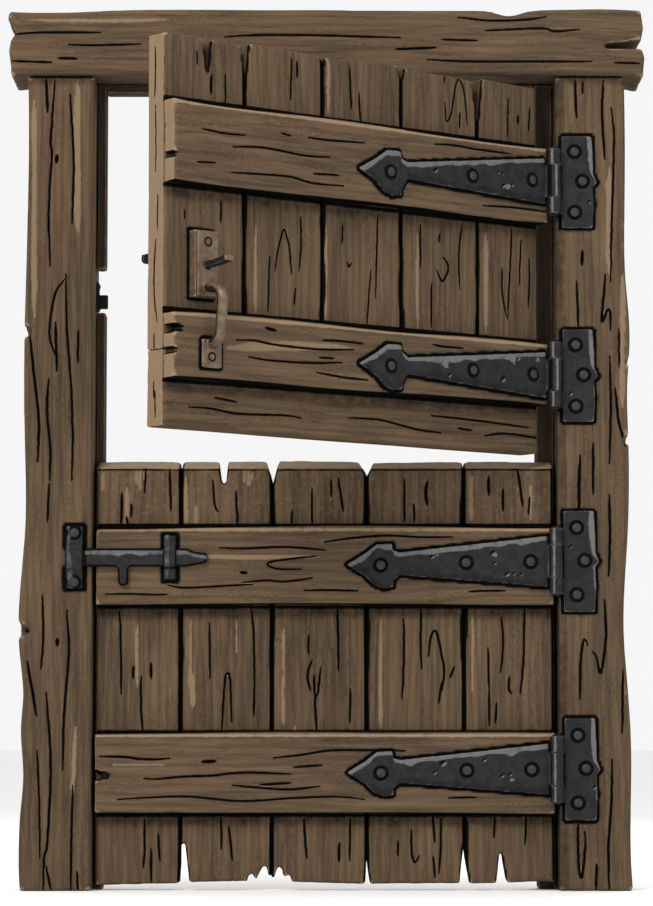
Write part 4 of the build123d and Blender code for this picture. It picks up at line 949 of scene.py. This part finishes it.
# how the iron is worked and painted: reaches and depths in metres, waves to the metre, strengths from 0 up,
# shades being painted shade and shines painted highlights; a knuckle ends where the distance from the axis runs from
# barrel to flat
forging = {"slice": 0.004, "barrel": 0.021, "flat": 0.030, "clear": 0.026, "proud": 0.0005,
           "fineBlows": 2.7, "fineShare": 0.35, "nibbleWaves": 55, "scarWaves": 260, "scarDepth": 0.0009,
           "dishDepth": 0.0006, "raggedWaves": (34, 34, 20), "ragged": 0.45, "hollowShade": 0.7, "faceShade": 0.42,
           "bandShine": 0.8, "nickShine": 0.75, "knuckleShine": 0.95, "knuckleShade": 1.1, "plateFoot": 0.012,
           "rimShade": 1.2, "turnedShade": 1.1}


def edgeDepth(along, across, weight):
    # how far each vertex lies in from the edge at the high end of across, in slices along the piece
    slices = np.round(along / forging["slice"]).astype(int)
    slices -= slices.min()
    edge = np.full(slices.max() + 1, -9.0)
    np.maximum.at(edge, slices, np.where(weight > 0.5, across, -9.0))
    return np.where(edge[slices] > -8, edge[slices] - across, 1.0)


def forgeMarks(places, front, look):
    # nicks, scars and the dished rings round rivets: how deep each is, how dark it is painted with dirt and shade, and
    # how bright, a painted highlight under a nick and a scar worn bare
    sunk, dark, bright = np.zeros(len(places)), np.zeros(len(places)), np.zeros(len(places))
    east, up = places[:, 0] * 1000, places[:, 2] * 1000
    for x, z, size, depth in look.get("nicks", []):
        # a slanting cut, painted dark inside, with a painted highlight under it
        along = ((east - x) * 0.8 + (up - z) * 0.6) / size
        across = ((up - z) * 0.8 - (east - x) * 0.6) / size
        away = np.hypot(along, across / 0.36)
        sunk += (1 - ease(0.1, 1, away)) * depth / 1000 * front
        dark = np.maximum(dark, 1.2 * (1 - ease(0.6, 1.0, away)) * front)
        bright = np.maximum(bright, (1 - ease(0.5, 1, np.hypot(along, (across + 0.6) / 0.4))) * front)
    for x, z, size in look.get("scars", []):
        torn = 1 + 0.5 * ruffle(places * forging["scarWaves"], look["seed"] + 8)
        away = np.hypot(east - x, (up - z) * 1.3) / size * torn
        sunk += (1 - ease(0.5, 1, away)) * forging["scarDepth"] * front
        bright = np.maximum(bright, (1 - ease(0.75, 1.0, away)) * front)
    # a dished ring round each rivet, painted dark with dirt and shade
    for x, z in look.get("rivets", []):
        ring = np.hypot(east - x, up - z) / look.get("ringScale", 1)
        sunk += ease(12, 14, ring) * ease(24, 16, ring) * front * forging["dishDepth"]
        dark = np.maximum(dark, 1.3 * ease(10, 12, ring) * ease(21.5, 19, ring) * front)
    return sunk, dark, bright


def forgeIron(node, look, material):
    # a CAD forging with hammered faces, softened arrises and nicks, dirt and painted shade round its rivets, painted
    # shade on its turned-away sides, and on some pieces painted highlights
    piece, space = straightCopy(node, "forged_" + node, look["voxel"])
    mesh = piece.data
    evenArris(mesh)
    places, normals, bend = positions(mesh), outward(mesh), bendOf(mesh)
    middle = np.array([0, 0, look.get("middle", 0)])
    places -= middle
    onAxis, flatPart, front = look.get("onAxis", False), np.ones(len(places)), facing(normals, 1, -1)
    if onAxis:
        flatPart = ease(forging["barrel"], forging["flat"], np.hypot(places[:, 0], places[:, 1]))
    blows = places * look["blow"]
    shift = ruffle(blows, look["seed"]) * look["hammer"]
    shift += ruffle(blows * forging["fineBlows"], look["seed"] + 1) * look["hammer"] * forging["fineShare"]
    nibble = np.maximum(0, ruffle(places * forging["nibbleWaves"], look["seed"] + 2))
    shift -= ease(0.10, 0.30, bend) * nibble * look["nibble"]
    sunk, dark, bright = forgeMarks(places, front, look)
    places += normals * (np.minimum(shift - sunk, forging["proud"]) * flatPart)[:, None] + middle
    movePoints(mesh, places)

    # painted shade in hollows, with the marks' dirt and painted shade
    dirtAndShade = np.maximum(ease(0.06, 0.22, -bend) * forging["hollowShade"], dark)
    wearAndHighlight = ease(0.05, 0.22, bendOf(mesh))
    normals = outward(mesh)
    ragged = 1 + forging["ragged"] * ruffle(places * forging["raggedWaves"], look["seed"] + 5)
    if onAxis:
        # a painted highlight as a band under a strap's upper edge, or down the outer edge of a plate, and along the
        # knuckles, with painted shade towards a strap's lower edge and on the knuckles' ends and sides
        blade = front * flatPart * (np.hypot(places[:, 0], places[:, 1]) > forging["clear"])
        if "strap" in node:
            depth = edgeDepth(places[:, 0], places[:, 2], blade)
            hollow = edgeDepth(places[:, 0], -places[:, 2], blade)
            dirtAndShade = np.maximum(dirtAndShade, forging["faceShade"] * ease(0.022, 0.010, hollow * ragged) * blade)
        else:
            depth = edgeDepth(places[:, 2], places[:, 0], blade)
            depth += forging["plateFoot"] * ease(0.06, -0.02, places[:, 2] - look["middle"])
        band = ease(look["bandWidth"], look["bandWidth"] * 0.6, depth * ragged) * blade
        wearAndHighlight = np.maximum.reduce([wearAndHighlight, forging["bandShine"] * band, forging["nickShine"] * bright])
        turn = np.exp(-((normals[:, 0] + 0.36) / 0.22) ** 2) * (normals[:, 1] < 0) * (1 - flatPart)
        wearAndHighlight = np.maximum(wearAndHighlight, forging["knuckleShine"] * turn * (abs(normals[:, 2]) < 0.5))
        knuckleEdge = np.maximum(ease(0.80, 0.95, abs(normals[:, 0])), ease(0.5, 0.8, abs(normals[:, 2])))
        dirtAndShade = np.maximum(dirtAndShade, forging["knuckleShade"] * knuckleEdge * (1 - flatPart))
    if "sheen" in look:
        # a painted highlight as a band inside the upper or the left edge, and a painted dark rim of shade round the
        # face
        x, z = places[:, 0], places[:, 2]
        fromTop, fromLeft = edgeDepth(x, z, front), edgeDepth(z, -x, front)
        depth = fromTop if look["sheen"] == "top" else fromLeft
        rim = np.minimum(np.minimum(fromTop, edgeDepth(x, -z, front)), np.minimum(fromLeft, edgeDepth(z, x, front)))
        band = look["shine"] * ease(0.019, 0.012, depth * ragged) * ease(0.8, 1.3, depth / look["rim"]) * front
        wearAndHighlight = np.maximum(wearAndHighlight * ease(0.5, 1, rim / look["rim"]), band)
        dirtAndShade = np.maximum(dirtAndShade, forging["rimShade"] * ease(1.1, 0.65, rim / look["rim"]))
    # painted shade on the sides that turn away from the front
    turnedAway = ease(look["turned"] + 0.3, look["turned"], -normals[:, 1]) * flatPart
    dirtAndShade = np.maximum(dirtAndShade, forging["turnedShade"] * turnedAway)
    keepMark(mesh, "wearAndHighlight", wearAndHighlight)
    keepMark(mesh, "dirtAndShade", dirtAndShade)
    hangPiece(piece, space, node, material)


# "turned" is how far a side turns from the front before it is painted dark with shade, "blow" the hammer marks to the
# metre
ironCommon = {"voxel": 0.0024, "bandWidth": 0.016, "blow": 48.0, "hammer": 0.0007, "nibble": 0.0016, "turned": 0.45}
# on the hinges, rivets, nicks and scars are measured from the axis and from the strap's middle, in millimetres
highStrapRivets = [(-66, -1), (-270, -10.4), (-540, -27)]
upperStrapRivets = [(-66, -1), (-270, -3.6), (-540, -10)]
lowerStrapRivets = [(-66, -1), (-235, -3.6), (-459, -10)]
upperPlateRivets = [(54.5, 81), (75.4, 2), (54.5, -81)]
lowerPlateRivets = [(54.5, 88), (75.4, 2), (54.5, -88)]
hinges = {
    "upper_strap_top": {
        "middle": 1.861, "seed": 101, "rivets": highStrapRivets, "scars": [(-150, -27, 11)],
        "nicks": [(-395, -6, 11, 1.6), (-184, 8, 7, 1.2), (-168, 7, 7, 1.2), (-166, -24, 10, 1.5),
                  (-136, -20, 8, 1.4)]},
    "upper_strap_bottom": {
        "middle": 1.347, "seed": 107, "rivets": upperStrapRivets,
        "scars": [(-362, 8, 15), (-136, 34, 14), (-50, 38, 9)],
        "nicks": [(-372, 12, 11, 1.6), (-350, -20, 8, 1.3), (-172, -18, 13, 1.6), (-118, 41, 11, 2.2)]},
    "lower_strap_top": {
        "middle": 0.858, "seed": 113, "rivets": lowerStrapRivets, "scars": [(-158, 17, 8)],
        "nicks": [(-326, 14, 10, 1.6), (-314, 20, 8, 1.2), (-167, 24, 11, 1.5), (-162, -4, 8, 1.3),
                  (-130, -32, 10, 1.4), (-111, -31, 7, 1.2), (-92, -33, 7, 1.2)]},
    "lower_strap_bottom": {
        "middle": 0.316, "seed": 119, "rivets": lowerStrapRivets, "scars": [(-116, -28, 7)],
        "nicks": [(-299, 18, 13, 1.8), (-320, -8, 8, 1.4), (-191, 25, 8, 1.3), (-144, -16, 8, 1.4),
                  (-123, -12, 8, 1.4), (-147, -60, 13, 2.0)]},
    "upper_hinge_plate_top": {"middle": 1.861, "seed": 131, "rivets": upperPlateRivets,
                              "nicks": [(92, -52, 8, 1.4)]},
    "upper_hinge_plate_bottom": {"middle": 1.347, "seed": 137, "rivets": upperPlateRivets,
                                 "nicks": [(40, -46, 8, 1.2)]},
    "lower_hinge_plate_top": {"middle": 0.858, "seed": 139, "rivets": lowerPlateRivets,
                              "nicks": [(38, 40, 8, 1.2)]},
    "lower_hinge_plate_bottom": {"middle": 0.316, "seed": 149, "rivets": lowerPlateRivets,
                                 "nicks": [(96, -46, 8, 1.4)]},
}
for node, look in hinges.items():
    forgeIron(node, dict(ironCommon, onAxis=True, **look), blackIron)
print("hinges forged")

boltWork = {
    "slide_bolt": {"seed": 151, "voxel": 0.002, "hammer": 0.0004, "nibble": 0.0012, "sheen": "top", "shine": 0.7,
                   "rim": 0.0050},
    "bolt_keeper": {"seed": 157, "voxel": 0.0018, "hammer": 0.0005, "nibble": 0.0012, "sheen": "left", "shine": 0.5,
                    "rim": 0.0030, "rivets": [(-1358.5, 933), (-1358.5, 803)], "ringScale": 0.95},
    "bolt_guide": {"seed": 163, "voxel": 0.0018, "hammer": 0.0005, "nibble": 0.0012, "sheen": "left", "shine": 0.5,
                   "rim": 0.0030},
    "latch_bar": {"seed": 167, "voxel": 0.0018, "hammer": 0.0004, "nibble": 0.0006},
    "bar_staple": {"seed": 173, "voxel": 0.0016, "hammer": 0.0003, "nibble": 0.0005},
    "latch_catch": {"seed": 179, "voxel": 0.0016, "hammer": 0.0003, "nibble": 0.0005},
}
for node, look in boltWork.items():
    forgeIron(node, dict(ironCommon, **look), blackIron)
latchWork = {
    "latch_handle": {"seed": 181, "voxel": 0.0016, "hammer": 0.0005, "nibble": 0.0010, "turned": -0.1,
                     "rivets": [(-1095, 1608), (-1095, 1323)], "ringScale": 0.62},
    "thumb_lever": {"seed": 191, "voxel": 0.0014, "hammer": 0.0003, "nibble": 0.0005, "turned": 0.1},
}
for node, look in latchWork.items():
    forgeIron(node, dict(ironCommon, **look), brownBronze)
print("bolt and latch forged")

# round rivet heads, evenly faced, are painted dark with shade where their domes turn away, between these two slopes
rivetLine = {"voxel": 0.0014, "slopes": (0.82, 0.74), "strength": 1.2}
for node in ("plate_rivets", "keeper_nails", "upper_strap_rivets", "lower_strap_rivets"):
    piece, space = straightCopy(node, "rimmed_" + node, rivetLine["voxel"])
    keepMark(piece.data, "dirtAndShade", rivetLine["strength"] * ease(*rivetLine["slopes"], -outward(piece.data)[:, 1]))
    hangPiece(piece, space, node, litRivetIron)

# the small fastenings keep their CAD shape and take a finish
fastenings = {
    blackIron: ["upper_hinge_pin_top", "upper_hinge_pin_bottom", "lower_hinge_pin_top", "lower_hinge_pin_bottom",
                "catch_screws", "upper_nails", "lower_nails", "bar_stud", "lever_pin"],
    brownBronze: ["latch_screws"],
}
for finish, names in fastenings.items():
    for name in names:
        for holder in nodes[name].material_slots:
            holder.material = finish
print("rivets and fastenings finished")

studio = {"floor": (0.905, 0.905, 0.90), "floorCloud": (0.92, 0.92, 0.915), "floorSize": 300,
          "sky": (1.0, 1.0, 1.0), "skyStrength": 0.92, "lampAim": (-0.7, 0, 1.1)}
# where each lamp stands, its size in metres, its power and its colour
lamps = {"key": ((-3.6, -5.6, 5.6), 2.4, 470, (1.0, 0.965, 0.92)),
         "fill": ((4.2, -6.5, 2.2), 4.0, 110, (0.95, 0.97, 1.0)),
         "back": ((1.5, 5.0, 4.2), 3.0, 160, (1.0, 1.0, 1.0))}
ground = bpy.data.meshes.new("floor")
plot = bmesh.new()
bmesh.ops.create_grid(plot, x_segments=4, y_segments=4, size=studio["floorSize"])
plot.to_mesh(ground)
plot.free()
floor = bpy.data.objects.new("floor", ground)
bpy.context.scene.collection.objects.link(floor)
paleFloor, floorTree, floorShader = newMaterial("paleFloor")
floorShader.inputs["Roughness"].default_value = 0.9
floorPlace = addNode(floorTree, "ShaderNodeTexCoord").outputs["Object"]
floorCloud = spread(floorTree, noiseOf(floorTree, floorPlace, (3, 3, 3), 3.0, 0.5), 0.3, 0.7)
floorColour = tint(floorTree, floorCloud, studio["floor"], studio["floorCloud"])
floorTree.links.new(floorColour, floorShader.inputs["Base Color"])
ground.materials.append(paleFloor)

room = bpy.data.worlds.new("paleRoom")
bpy.context.scene.world = room
room.use_nodes = True
fillSockets(room.node_tree.nodes["Background"], Color=(*studio["sky"], 1), Strength=studio["skyStrength"])
for name, (where, size, power, colour) in lamps.items():
    lamp = bpy.data.lights.new(name, "AREA")
    lamp.size, lamp.energy, lamp.color = size, power, colour
    lampObject = bpy.data.objects.new(name, lamp)
    lampObject.location = where
    aim = Vector(studio["lampAim"]) - Vector(where)
    lampObject.rotation_euler = aim.to_track_quat("-Z", "Y").to_euler()
    bpy.context.scene.collection.objects.link(lampObject)

eye = {"place": (-0.698, -9.1, 0.4), "pitch": 94.72, "lens": 136.57, "sensor": 36, "sight": 100}
viewer = bpy.data.cameras.new("viewer")
viewer.sensor_fit = "VERTICAL"
viewer.sensor_height, viewer.lens, viewer.clip_end = eye["sensor"], eye["lens"], eye["sight"]
viewerObject = bpy.data.objects.new("viewer", viewer)
viewerObject.location = eye["place"]
viewerObject.rotation_euler = (math.radians(eye["pitch"]), 0, 0)
bpy.context.scene.collection.objects.link(viewerObject)
bpy.context.scene.camera = viewerObject
bpy.context.scene.view_settings.view_transform = "Standard"
print("lit, and the camera is set")
